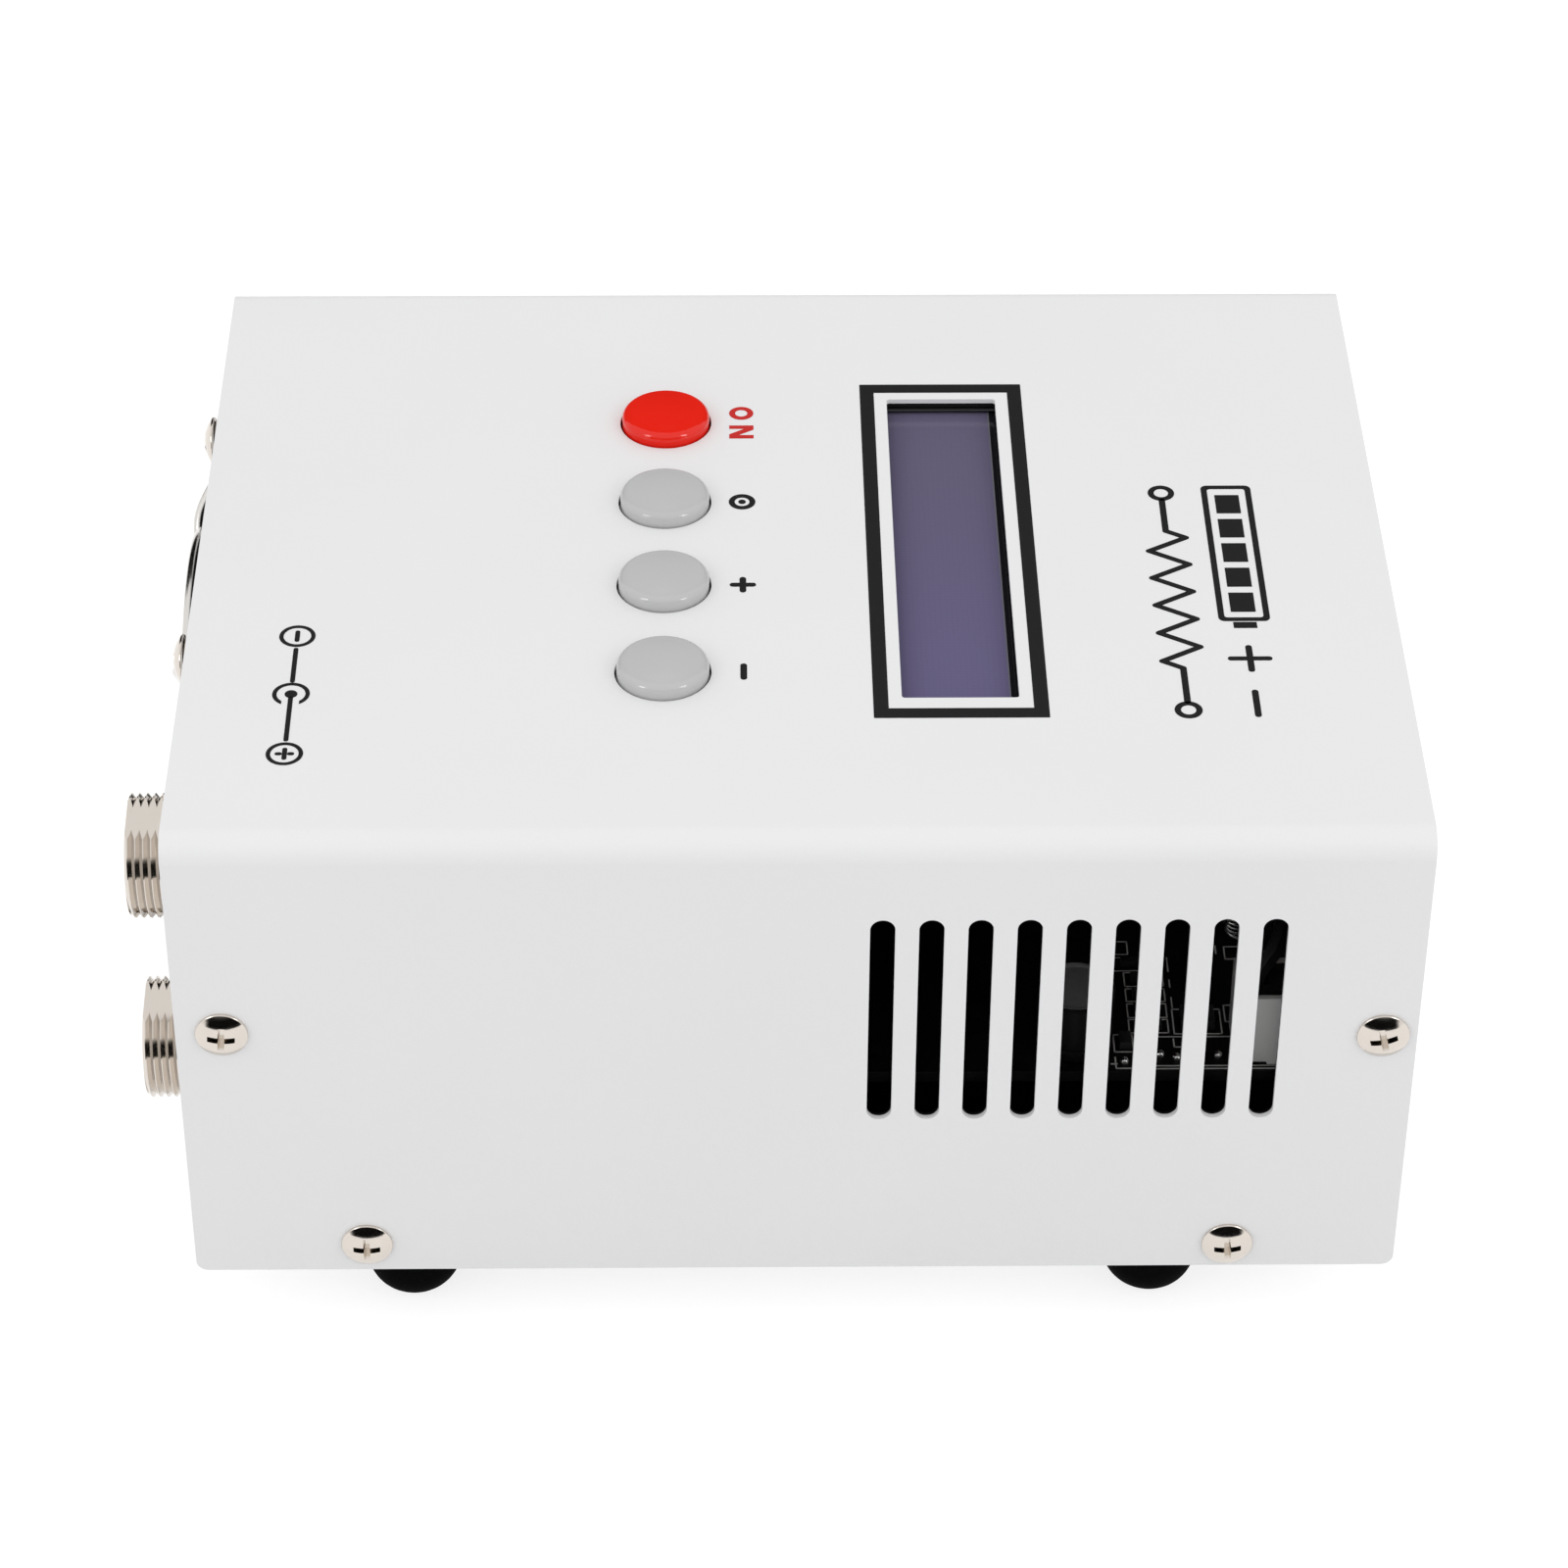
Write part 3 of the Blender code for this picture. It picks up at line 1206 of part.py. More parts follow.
def build_main_board():
    """The L-shaped power board on its standoffs."""
    top = MAIN_BOARD_TOP
    bottom = top - BOARD_THICKNESS
    inner = SINK_NEAR_X + BOARD_TO_SINK
    outline = [
        (MAIN_BOARD_NEAR, MAIN_BOARD_FRONT),
        (MAIN_BOARD_NEAR, MAIN_BOARD_REAR),
        (MAIN_BOARD_FAR, MAIN_BOARD_REAR),
        (MAIN_BOARD_FAR, MAIN_BOARD_STEP),
        (inner, MAIN_BOARD_STEP),
        (inner, MAIN_BOARD_FRONT),
    ]
    board = prism(bmesh.new(), "Z", outline, bottom, top)
    holes = bmesh.new()
    for place in main_board_holes():
        prism(holes, "Z", circle(place, BOARD_HOLE_RADIUS, 8), bottom - OVERRUN, top + OVERRUN)
    add_part("main_board", carved(board, ("DIFFERENCE", holes)), "black_board")
    board_screws("main_board_screw", main_board_holes(), PARTS_ON_BOARD, 1)


def build_heat_sink():
    """An extruded sink: an upright base with level fins reaching across the air stream."""
    low = FLOOR_TOP + SEAT_GAP
    near = SINK_NEAR_X
    root = near - SINK_BASE
    far = near - SINK_DEPTH
    pitch = (SINK_HEIGHT - SINK_FIN) / (SINK_FINS - 1)
    outline = [(near, low)]
    for number in range(SINK_FINS):
        bottom = low + number * pitch
        if number:
            outline.append((root, bottom))
        outline += [(far, bottom), (far, bottom + SINK_FIN)]
        if number < SINK_FINS - 1:
            outline.append((root, bottom + SINK_FIN))
    outline.append((near, low + SINK_HEIGHT))
    sink = prism(bmesh.new(), "Y", outline, SINK_FRONT, SINK_REAR)
    add_part("heat_sink", mesh_of(sink, "heat_sink"), "black_anodised")


def transistor_mesh():
    """A power transistor: flat case with a screw hole, and three legs down to the board."""
    half = TRANSISTOR_WIDTH / 2
    low = PARTS_ON_BOARD + TRANSISTOR_STAND
    top = low + TRANSISTOR_HEIGHT
    outline = rectangle((-half, low), (half, top))
    case = prism(bmesh.new(), "X", outline, 0, TRANSISTOR_THICKNESS)

    def front_edges(a, b):
        return a.x > TRANSISTOR_THICKNESS - FUSE and b.x > TRANSISTOR_THICKNESS - FUSE

    bevel_where(case, front_edges, TRANSISTOR_THICKNESS / 6, 1)
    hole = circle((0, top - TRANSISTOR_HOLE_DROP), TRANSISTOR_HOLE_RADIUS, COARSE)
    bore = prism(bmesh.new(), "X", hole, -OVERRUN, TRANSISTOR_THICKNESS + OVERRUN)
    legs = bmesh.new()
    deep = TRANSISTOR_THICKNESS / 2 - LEG_THICKNESS / 2
    for number in (-1, 0, 1):
        centre = number * LEG_PITCH
        leg = rectangle((centre - LEG_WIDTH / 2, PARTS_ON_BOARD), (centre + LEG_WIDTH / 2, low + FUSE))
        prism(legs, "X", leg, deep, deep + LEG_THICKNESS)
    return carved(case, ("DIFFERENCE", bore), ("UNION", legs))


def build_transistors():
    """Two power transistors flat on the heat sink's base."""
    mesh = transistor_mesh()
    for number, along in enumerate(TRANSISTOR_PLACES, 1):
        place = (SINK_NEAR_X + SEAT_GAP, along, 0)
        add_part(f"power_transistor_{number}", mesh, "transistor", place)


def build_capacitor():
    """A can capacitor with a crimped groove near its foot."""
    radius = CAPACITOR_RADIUS
    foot = PARTS_ON_BOARD
    top = foot + CAPACITOR_HEIGHT
    groove = foot + radius * 0.5
    dent = radius * 0.08
    profile = [
        (0, foot),
        (radius, foot),
        (radius, groove - dent),
        (radius - dent, groove),
        (radius, groove + dent),
        (radius, top - dent),
        (radius - dent, top),
        (0, top),
    ]
    can = turned(bmesh.new(), "Z", (0, 0), profile, MEDIUM)
    add_part("capacitor", mesh_of(can, "capacitor"), "capacitor", (CAPACITOR_X, CAPACITOR_Y, 0))


def build_terminal_block():
    """A white two-way terminal block with a well for each lead."""
    half_length = TERMINAL_LENGTH / 2
    half_width = TERMINAL_WIDTH / 2
    low = PARTS_ON_BOARD
    top = low + TERMINAL_HEIGHT
    blank = block(bmesh.new(), (-half_width, -half_length, low), (half_width, half_length, top))

    def top_edges(a, b):
        return a.z > top - FUSE and b.z > top - FUSE

    bevel_where(blank, top_edges, FUSE, 1)
    wells = bmesh.new()
    for side in (-0.5, 0.5):
        hole = circle((0, side * TERMINAL_PITCH), TERMINAL_WELL_RADIUS, COARSE)
        prism(wells, "Z", hole, top - TERMINAL_WELL_DEPTH, top + OVERRUN)
    mesh = carved(blank, ("DIFFERENCE", wells))
    add_part("terminal_block", mesh, "white_nylon", (TERMINAL_X, TERMINAL_Y, 0))


def lead_path(side):
    """Hand-set route of a lead from the terminal block to the battery socket's back."""
    start = TERMINAL_Y + side * TERMINAL_PITCH / 2
    well = PARTS_ON_BOARD + TERMINAL_HEIGHT - TERMINAL_WELL_DEPTH + SEAT_GAP
    pin_x = SOCKET_X + side * BATTERY_PIN_OFFSET
    pin_z = SOCKET_HEIGHTS[0] + BATTERY_PIN_OFFSET
    end = PIN_END + SEAT_GAP
    apart = side * LEAD_SPREAD
    turn_x = pin_x - LEAD_SIDESTEP
    return [
        (TERMINAL_X, start, well),
        (TERMINAL_X, start, well + LEAD_RISE / 4),
        (TERMINAL_X - LEAD_SIDESTEP, start + LEAD_SIDESTEP, well + LEAD_RISE / 2),
        (TERMINAL_X - LEAD_SWING + apart, start + LEAD_SPREAD, well + LEAD_RISE * 0.85 + apart / 2),
        (turn_x, LEAD_BEND_Y + apart, well + LEAD_RISE + apart / 2),
        (turn_x, LEAD_HIGH_Y, well + LEAD_RISE),
        (pin_x, LEAD_LOW_Y, pin_z + LEAD_SPREAD),
        (pin_x, end + LEAD_RUN_IN, pin_z),
        (pin_x, end, pin_z),
    ]


def build_leads():
    """Two leads from the terminal block to the battery socket."""
    for side, name in ((-1, "black"), (1, "red")):
        path = smooth_path(lead_path(side), 3)
        mesh = mesh_of(wire_body(path, LEAD_RADIUS, 1), "lead")
        add_part(f"battery_lead_{name}", mesh, f"{name}_lead")


def main():
    """Builds the tester, from its case inwards."""
    clear_scene()
    build_cover()
    build_chassis()
    build_cover_screws()
    build_feet()
    build_fan_frame()
    build_fan_rotor()
    build_fan_guard()
    build_fan_screws()
    build_sockets()
    build_display()
    build_control_board()
    build_keys()
    build_main_board()
    build_heat_sink()
    build_transistors()
    build_capacitor()
    build_terminal_block()
    build_leads()


main()
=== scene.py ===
"""Looks of a bench battery capacity tester: its visible pieces, finishes, light and camera.

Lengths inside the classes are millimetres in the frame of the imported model. A shape is turned
into metres when it becomes an object.
"""

import json
import logging
import math
from dataclasses import dataclass, field
from enum import Enum
from typing import Callable, Iterable, Mapping, Optional, Sequence, Union

import bmesh
import bpy
from mathutils import Euler, Matrix, Vector


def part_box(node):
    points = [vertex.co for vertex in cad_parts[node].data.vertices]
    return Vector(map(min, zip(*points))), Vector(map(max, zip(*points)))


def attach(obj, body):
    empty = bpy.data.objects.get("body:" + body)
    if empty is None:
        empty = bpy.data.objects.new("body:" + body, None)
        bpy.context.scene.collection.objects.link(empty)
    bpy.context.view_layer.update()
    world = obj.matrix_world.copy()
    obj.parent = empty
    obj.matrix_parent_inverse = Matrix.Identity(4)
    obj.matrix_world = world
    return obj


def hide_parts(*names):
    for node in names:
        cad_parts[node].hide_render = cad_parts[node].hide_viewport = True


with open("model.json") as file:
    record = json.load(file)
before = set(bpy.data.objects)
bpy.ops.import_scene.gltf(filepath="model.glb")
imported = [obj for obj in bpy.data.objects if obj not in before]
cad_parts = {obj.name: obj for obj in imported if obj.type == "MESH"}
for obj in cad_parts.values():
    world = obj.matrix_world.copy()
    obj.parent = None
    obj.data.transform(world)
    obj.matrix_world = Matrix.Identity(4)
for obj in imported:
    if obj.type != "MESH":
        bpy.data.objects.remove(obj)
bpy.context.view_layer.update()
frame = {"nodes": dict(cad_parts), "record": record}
LOG = logging.getLogger("tester")
MM = 0.001

Point2 = tuple[float, float]
Point3 = tuple[float, float, float]
Tint = tuple[float, float, float]


class Axis(Enum):
    """A main direction of the frame."""

    X = (1.0, 0.0, 0.0)
    Y = (0.0, 1.0, 0.0)
    Z = (0.0, 0.0, 1.0)


class Body(Enum):
    """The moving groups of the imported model."""

    CASE = "case"
    FAN_WHEEL = "fan_wheel"
    ON_KEY = "on_key"
    SET_KEY = "set_key"
    UP_KEY = "up_key"
    DOWN_KEY = "down_key"


class Joining(Enum):
    """How one solid is joined to another."""

    CUT = "DIFFERENCE"
    UNITE = "UNION"
    COMMON = "INTERSECT"


class Value:
    """A shader socket that takes part in Python arithmetic."""

    def __init__(self, shade: "Shade", socket: bpy.types.NodeSocket) -> None:
        """Wraps an output socket.

        Args:
            shade: The material that the socket belongs to.
            socket: The output socket.
        """
        self.shade = shade
        self.socket = socket

    def __add__(self, other: "Number") -> "Value":
        """Sum of two values."""
        return self.shade.math("ADD", self, other)

    __radd__ = __add__

    def __sub__(self, other: "Number") -> "Value":
        """Difference of two values."""
        return self.shade.math("SUBTRACT", self, other)

    def __rsub__(self, other: "Number") -> "Value":
        """Difference from a plain number."""
        return self.shade.math("SUBTRACT", other, self)

    def __mul__(self, other: "Number") -> "Value":
        """Product of two values."""
        return self.shade.math("MULTIPLY", self, other)

    __rmul__ = __mul__

    def __lt__(self, other: "Number") -> "Value":
        """1 where this value is the lower."""
        return self.shade.math("LESS_THAN", self, other)

    def __gt__(self, other: "Number") -> "Value":
        """1 where this value is the higher."""
        return self.shade.math("GREATER_THAN", self, other)

    def within(self, low: float, high: float) -> "Value":
        """1 between two bounds."""
        return (self > low) * (self < high)

    def eased(self, low: float, high: float) -> "Value":
        """0 below low, 1 above high, and a smooth step between them."""
        return self.shade.node(
            "ShaderNodeMapRange",
            {"interpolation_type": "SMOOTHSTEP"},
            {"Value": self, "From Min": low, "From Max": high},
        )


Number = Union[Value, float, int]
Feed = Union[Value, float, int, Sequence[float]]


class Shade:
    """The node tree of one material, built up around its Principled shader."""

    def __init__(self, name: str) -> None:
        """Starts a material.

        Args:
            name: The material's name.
        """
        self.material = bpy.data.materials.new(name)
        self.material.use_nodes = True
        self.tree = self.material.node_tree
        self.shader = self.tree.nodes["Principled BSDF"]
        self._axes: Optional[tuple[Value, Value, Value]] = None
        self._place: Optional[Value] = None

    def link(self, socket: bpy.types.NodeSocket, value: Feed) -> None:
        """Puts a value or a link on an input socket.

        Args:
            socket: The input socket.
            value: A value of this tree, a number or a colour.
        """
        if isinstance(value, Value):
            self.tree.links.new(value.socket, socket)
        elif isinstance(value, (int, float)):
            socket.default_value = value
        elif socket.type == "RGBA":
            socket.default_value = (*value[:3], 1.0)
        else:
            socket.default_value = value

    def node(
        self,
        kind: str,
        settings: Optional[Mapping[str, object]] = None,
        sockets: Optional[Mapping[Union[str, int], Feed]] = None,
        output: Union[str, int] = 0,
    ) -> Value:
        """Adds a node.

        Args:
            kind: The node's type.
            settings: Its own settings, which are set first.
            sockets: Values or links of its input sockets, by name or number.
            output: The output that is returned.

        Returns:
            The chosen output.
        """
        made = self.tree.nodes.new(kind)
        for name, value in (settings or {}).items():
            setattr(made, name, value)
        for name, value in (sockets or {}).items():
            self.link(made.inputs[name], value)
        return Value(self, made.outputs[output])

    def math(self, operation: str, *values: Number) -> Value:
        """One Math node over one or two values."""
        return self.node("ShaderNodeMath", {"operation": operation}, dict(enumerate(values)))

    def mix(self, share: Number, first: Feed, second: Feed) -> Value:
        """A colour that goes from first to second with the share."""
        sockets = {0: share, 6: first, 7: second}
        return self.node("ShaderNodeMix", {"data_type": "RGBA"}, sockets, 2)

    def place(self) -> Value:
        """The spot on the object, in metres."""
        if self._place is None:
            self._place = self.node("ShaderNodeTexCoord", output="Object")
        return self._place

    def axes(self) -> tuple[Value, Value, Value]:
        """The spot on the object as three values."""
        if self._axes is None:
            split = self.node("ShaderNodeSeparateXYZ", sockets={0: self.place()})
            outputs = split.socket.node.outputs
            self._axes = tuple(Value(self, outputs[number]) for number in range(3))
        return self._axes

    def stretched(self, scale: Sequence[float]) -> Value:
        """The spot on the object, scaled along the three axes."""
        sockets = {"Vector": self.place(), "Scale": list(scale)}
        return self.node("ShaderNodeMapping", sockets=sockets)

    def noise(self, size: float, detail: float = 2.0, at: Optional[Value] = None) -> Value:
        """Cloudy noise from 0 to 1.

        Args:
            size: Size of its features, in millimetres.
            detail: How many finer layers it has.
            at: Where it is looked up, if not at the object's own place.

        Returns:
            The noise.
        """
        sockets = {"Vector": at or self.place(), "Scale": 1 / (size * MM), "Detail": detail}
        return self.node("ShaderNodeTexNoise", sockets=sockets)

    def bump(self, height: Value, depth: float, strength: float = 1.0) -> None:
        """Raises the surface by a height map.

        Args:
            height: The map, from 0 to 1.
            depth: Its full depth, in millimetres.
            strength: How strongly it is felt.
        """
        sockets = {"Height": height, "Distance": depth * MM, "Strength": strength}
        normal = self.node("ShaderNodeBump", sockets=sockets)
        self.link(self.shader.inputs["Normal"], normal)

    def set(self, **sockets: Feed) -> None:
        """Sets the Principled shader's sockets, named with underscores for spaces."""
        for name, value in sockets.items():
            socket = name.replace("_", " ").title().replace("Ior", "IOR")
            self.link(self.shader.inputs[socket], value)


@dataclass(frozen=True)
class Finish:
    """A finish that any piece can be given."""

    name: str

    def paint(self, shade: Shade) -> None:
        """Builds the finish in a fresh material."""
        raise NotImplementedError

    def material(self) -> bpy.types.Material:
        """The finish as a material, made once."""
        found = bpy.data.materials.get(self.name)
        if found:
            return found
        shade = Shade(self.name)
        self.paint(shade)
        return shade.material


@dataclass(frozen=True)
class PowderCoat(Finish):
    """Fine-textured powder coat on sheet, with painted shade on the faces that look into the case.

    Attributes:
        tint: Colour of the coat.
        shade_boxes: Lowest and highest corners of the spaces whose faces get painted shade, in
            millimetres.
    """

    tint: Tint = (0.812, 0.812, 0.816)
    shade_boxes: tuple[tuple[Point3, Point3], ...] = ()

    def paint(self, shade: Shade) -> None:
        """Orange peel, faint speckle and slight unevenness over a pale ground, and painted shade
        inside the case.
        """
        peel = shade.noise(0.9, 1.0)
        speck = shade.noise(0.28, 2.0)
        cloud = shade.noise(34.0, 3.0)
        darker = tuple(channel * 0.955 for channel in self.tint)
        lighter = tuple(min(1.0, channel * 1.015) for channel in self.tint)
        coat = shade.mix(cloud * 0.55 + speck * 0.45, darker, lighter)
        # Painted shade: faces within the boxes get a near-black colour for the dark inside of the
        # case.
        inside: Number = 0.0
        for low, high in self.shade_boxes:
            box: Number = 1.0
            for axis, first, last in zip(shade.axes(), low, high):
                box = axis.within(first * MM, last * MM) * box
            inside = shade.math("MAXIMUM", inside, box)
        painted_inner_shade = shade.mix(speck, (0.0025, 0.0025, 0.0026), (0.0045, 0.0045, 0.0047))
        shade.set(
            base_color=shade.mix(inside, coat, painted_inner_shade),
            roughness=0.40 + speck * 0.12 + inside * 0.3,
            specular_ior_level=0.2,
        )
        shade.bump(peel * 0.75 + speck * 0.25, 0.035, 0.8)


@dataclass(frozen=True)
class Plating(Finish):
    """Bright plate on metal, with fine marks and a slight haze.

    Attributes:
        tint: Colour of the plate.
        polish: Roughness of its clean places.
        haze: Roughness that dull patches add.
    """

    tint: Tint = (0.72, 0.665, 0.605)
    polish: float = 0.14
    haze: float = 0.10

    def paint(self, shade: Shade) -> None:
        """Haze in patches, and fine marks."""
        haze = shade.noise(2.6, 3.0)
        marks = shade.noise(0.16, 3.0)
        dull = tuple(channel * 0.90 for channel in self.tint)
        shade.set(
            base_color=shade.mix(haze * 0.7 + marks * 0.3, dull, self.tint),
            metallic=1.0,
            roughness=self.polish + (haze + marks) * (self.haze / 2),
        )
        shade.bump(marks, 0.004, 0.6)


@dataclass(frozen=True)
class Rubber(Finish):
    """Matt black rubber with a fine moulded skin and a little dust."""

    tint: Tint = (0.0012, 0.0012, 0.0013)

    def paint(self, shade: Shade) -> None:
        """Fine skin, and dust that greys it slightly."""
        skin = shade.noise(0.22, 3.0)
        dust = shade.noise(2.4, 4.0).eased(0.52, 0.80)
        dusty = tuple(channel + 0.002 for channel in self.tint)
        shade.set(
            base_color=shade.mix(dust * 0.6 + skin * 0.2, self.tint, dusty),
            roughness=0.70 + skin * 0.18,
            specular_ior_level=0.03,
        )
        shade.bump(skin, 0.02, 0.7)


@dataclass(frozen=True)
class Moulding(Finish):
    """Moulded plastic with a fine spark-eroded grain.

    Attributes:
        tint: Colour of the plastic.
        polish: Roughness of its smoothest places.
        grain: Size of the grain, in millimetres.
        depth: Depth of the grain, in millimetres.
    """

    tint: Tint = (0.014, 0.014, 0.015)
    polish: float = 0.36
    grain: float = 0.3
    depth: float = 0.012

    def paint(self, shade: Shade) -> None:
        """Grain in colour, gloss and height, over broad flow marks."""
        grain = shade.noise(self.grain, 2.0)
        flow = shade.noise(9.0, 2.0)
        pale = tuple(channel * 1.12 + 0.002 for channel in self.tint)
        shade.set(
            base_color=shade.mix(grain * 0.5 + flow * 0.5, self.tint, pale),
            roughness=self.polish + grain * 0.10 + flow * 0.06,
            specular_ior_level=0.45,
        )
        shade.bump(grain, self.depth, 0.7)


@dataclass(frozen=True)
class KeyPlastic(Finish):
    """Glossy moulded key cap, its rim slightly worn smooth.

    Attributes:
        tint: Colour of the cap.
        shadow: Colour deep in the plastic, seen in patches.
        shoulder: Heights between which the shoulder is polished, in millimetres.
        fade: Height over which the polish comes and goes, in millimetres.
        gloss: Weight of the polish.
    """

    tint: Tint = (0.79, 0.018, 0.008)
    shadow: Tint = (0.76, 0.015, 0.007)
    shoulder: Point2 = (79.25, 80.3)
    fade: float = 0.15
    gloss: float = 0.45

    def paint(self, shade: Shade) -> None:
        """Faint marbling, fine hairlines in the gloss, and a polished shoulder."""
        marble = shade.noise(5.0, 3.0)
        hairs = shade.noise(0.25, 3.0)
        low, high = self.shoulder
        height = shade.axes()[2]
        rise = height.eased((low - self.fade) * MM, low * MM)
        fall = height.eased((high - self.fade) * MM, high * MM)
        shade.set(
            base_color=shade.mix(marble, self.shadow, self.tint),
            roughness=0.10 + hairs * 0.03 + marble * 0.03,
            specular_ior_level=0.14,
            coat_weight=rise * (1 - fall) * self.gloss,
            coat_roughness=0.04,
        )
        shade.bump(hairs, 0.004, 0.5)


@dataclass(frozen=True)
class Ink(Finish):
    """Screen-printed ink with slightly uneven cover.

    Attributes:
        tint: Colour of the ink.
    """

    tint: Tint = (0.014, 0.014, 0.015)

    def paint(self, shade: Shade) -> None:
        """Weave of the screen, and thin places."""
        weave = shade.noise(0.2, 2.0)
        thin = shade.noise(1.4, 2.0)
        pale = tuple(channel + 0.006 for channel in self.tint)
        shade.set(
            base_color=shade.mix(weave * 0.5 + thin * 0.5, self.tint, pale),
            roughness=0.46 + weave * 0.14,
            specular_ior_level=0.12,
        )
        shade.bump(weave, 0.006, 0.6)


@dataclass(frozen=True)
class DisplayGlass(Finish):
    """Unlit character display under glass, with a painted reflection that turns it from violet at
    the near end to greyer at the far one.

    Attributes:
        near: X of the near end, in millimetres.
        far: X of the far end.
        seal_and_shadow: Y where the dark strip begins, partly the glass's edge seal and partly
            painted shadow from the window's edge.
        edge: Y where the pale edge of the upper glass shows.
        rim: Width of that edge.
    """

    near: float = 33.0
    far: float = -33.0
    seal_and_shadow: float = 30.6
    edge: float = 30.42
    rim: float = 0.16

    def paint(self, shade: Shade) -> None:
        """Painted reflection along the length, dot grid, dark strip with painted shadow, and pale
        glass edge.
        """
        across, along, _ = shade.axes()
        # Painted reflection: the film's tone fades from violet at the near end to greyer at the far
        # one.
        share = across.eased(self.far * MM, self.near * MM)
        film_with_painted_reflection = shade.mix(share, (0.131, 0.115, 0.186), (0.140, 0.122, 0.228))
        dots = shade.node(
            "ShaderNodeTexBrick",
            {"offset": 0.0},
            {
                "Vector": shade.place(),
                "Color1": (1.0, 1.0, 1.0),
                "Color2": (0.97, 0.97, 0.97),
                "Mortar": (0.90, 0.90, 0.92),
                "Scale": 1.0,
                "Mortar Size": 0.05 * MM,
                "Brick Width": 0.6 * MM,
                "Row Height": 0.7 * MM,
            },
        )
        toned = shade.node(
            "ShaderNodeMix",
            {"data_type": "RGBA", "blend_type": "MULTIPLY"},
            {0: 0.5, 6: film_with_painted_reflection, 7: dots},
            2,
        )
        # Dark strip: partly the glass's edge seal, partly painted shadow along the window's edge.
        in_seal_and_shadow = along > self.seal_and_shadow * MM
        seam = along.within(self.edge * MM, (self.edge + self.rim) * MM)
        dark = shade.mix(in_seal_and_shadow, toned, (0.010, 0.010, 0.012))
        haze = shade.noise(14.0, 3.0)
        shade.set(
            base_color=shade.mix(seam, dark, (0.16, 0.16, 0.17)),
            roughness=0.10 + haze * 0.05,
            specular_ior_level=0.2,
        )


@dataclass(frozen=True)
class SolderMask(Finish):
    """Black solder mask with faint tracks under it.

    Attributes:
        tint: Colour of the mask.
    """

    tint: Tint = (0.0030, 0.0032, 0.0032)

    def paint(self, shade: Shade) -> None:
        """Tracks as a stepped lift, with glass weave in the gloss."""
        tracks = shade.noise(3.4, 0.0).eased(0.50, 0.53)
        weave = shade.noise(0.5, 2.0)
        lifted = tuple(channel * 1.7 for channel in self.tint)
        shade.set(
            base_color=shade.mix(tracks * 0.8 + weave * 0.2, self.tint, lifted),
            roughness=0.34 + weave * 0.16,
            specular_ior_level=0.22,
        )
        shade.bump(tracks, 0.03, 0.6)


@dataclass(frozen=True)
class Anodised(Finish):
    """Black anodised extrusion with long die lines."""

    tint: Tint = (0.016, 0.016, 0.018)

    def paint(self, shade: Shade) -> None:
        """Die lines along the length."""
        lines = shade.noise(0.3, 2.0, shade.stretched((1.0, 0.02, 1.0)))
        pale = tuple(channel * 1.5 for channel in self.tint)
        shade.set(
            base_color=shade.mix(lines, self.tint, pale),
            metallic=0.6,
            roughness=0.36 + lines * 0.14,
        )
        shade.bump(lines, 0.01, 0.6)


@dataclass(frozen=True)
class Sleeve(Finish):
    """A capacitor's shrunk sleeve, with its bare metal top.

    Attributes:
        top: Height of the bare top, in millimetres.
        centre: Middle of the can.
        radius: Radius of the bare disc.
    """

    top: float = 45.15
    centre: Point2 = (50.5, 38.85)
    radius: float = 4.6

    def paint(self, shade: Shade) -> None:
        """Dark wrinkled sleeve, and a dull grey disc on top."""
        across, along, height = shade.axes()
        out = across - self.centre[0] * MM
        aside = along - self.centre[1] * MM
        span = shade.math("SQRT", out * out + aside * aside)
        disc = (span < self.radius * MM) * (height > self.top * MM)
        wrinkle = shade.noise(0.9, 3.0)
        sleeve = shade.mix(wrinkle, (0.002, 0.002, 0.0025), (0.004, 0.004, 0.0045))
        bare = shade.mix(wrinkle, (0.20, 0.20, 0.205), (0.26, 0.26, 0.265))
        shade.set(
            base_color=shade.mix(disc, sleeve, bare),
            metallic=disc * 0.3,
            roughness=0.42 + wrinkle * 0.12,
            specular_ior_level=0.10,
        )
        shade.bump(wrinkle, 0.02, 0.6)


FOOT_RUBBER = Rubber("foot_rubber")
GUARD_PLATE = Plating("guard_plate", (0.74, 0.72, 0.69), 0.14)
RED_PLASTIC = KeyPlastic("power_key_red")
GREY_PLASTIC = KeyPlastic("key_grey", (0.512, 0.512, 0.514), (0.494, 0.494, 0.496))
BOARD_MASK = SolderMask("board_mask")
CAN_SLEEVE = Sleeve("capacitor_sleeve")
TERMINAL_NYLON = Moulding("terminal_nylon", (0.62, 0.62, 0.61), 0.42, 0.4, 0.01)


def linked(name: str, data: bpy.types.ID) -> bpy.types.Object:
    """A new object in the scene that shows the data."""
    obj = bpy.data.objects.new(name, data)
    bpy.context.scene.collection.objects.link(obj)
    return obj


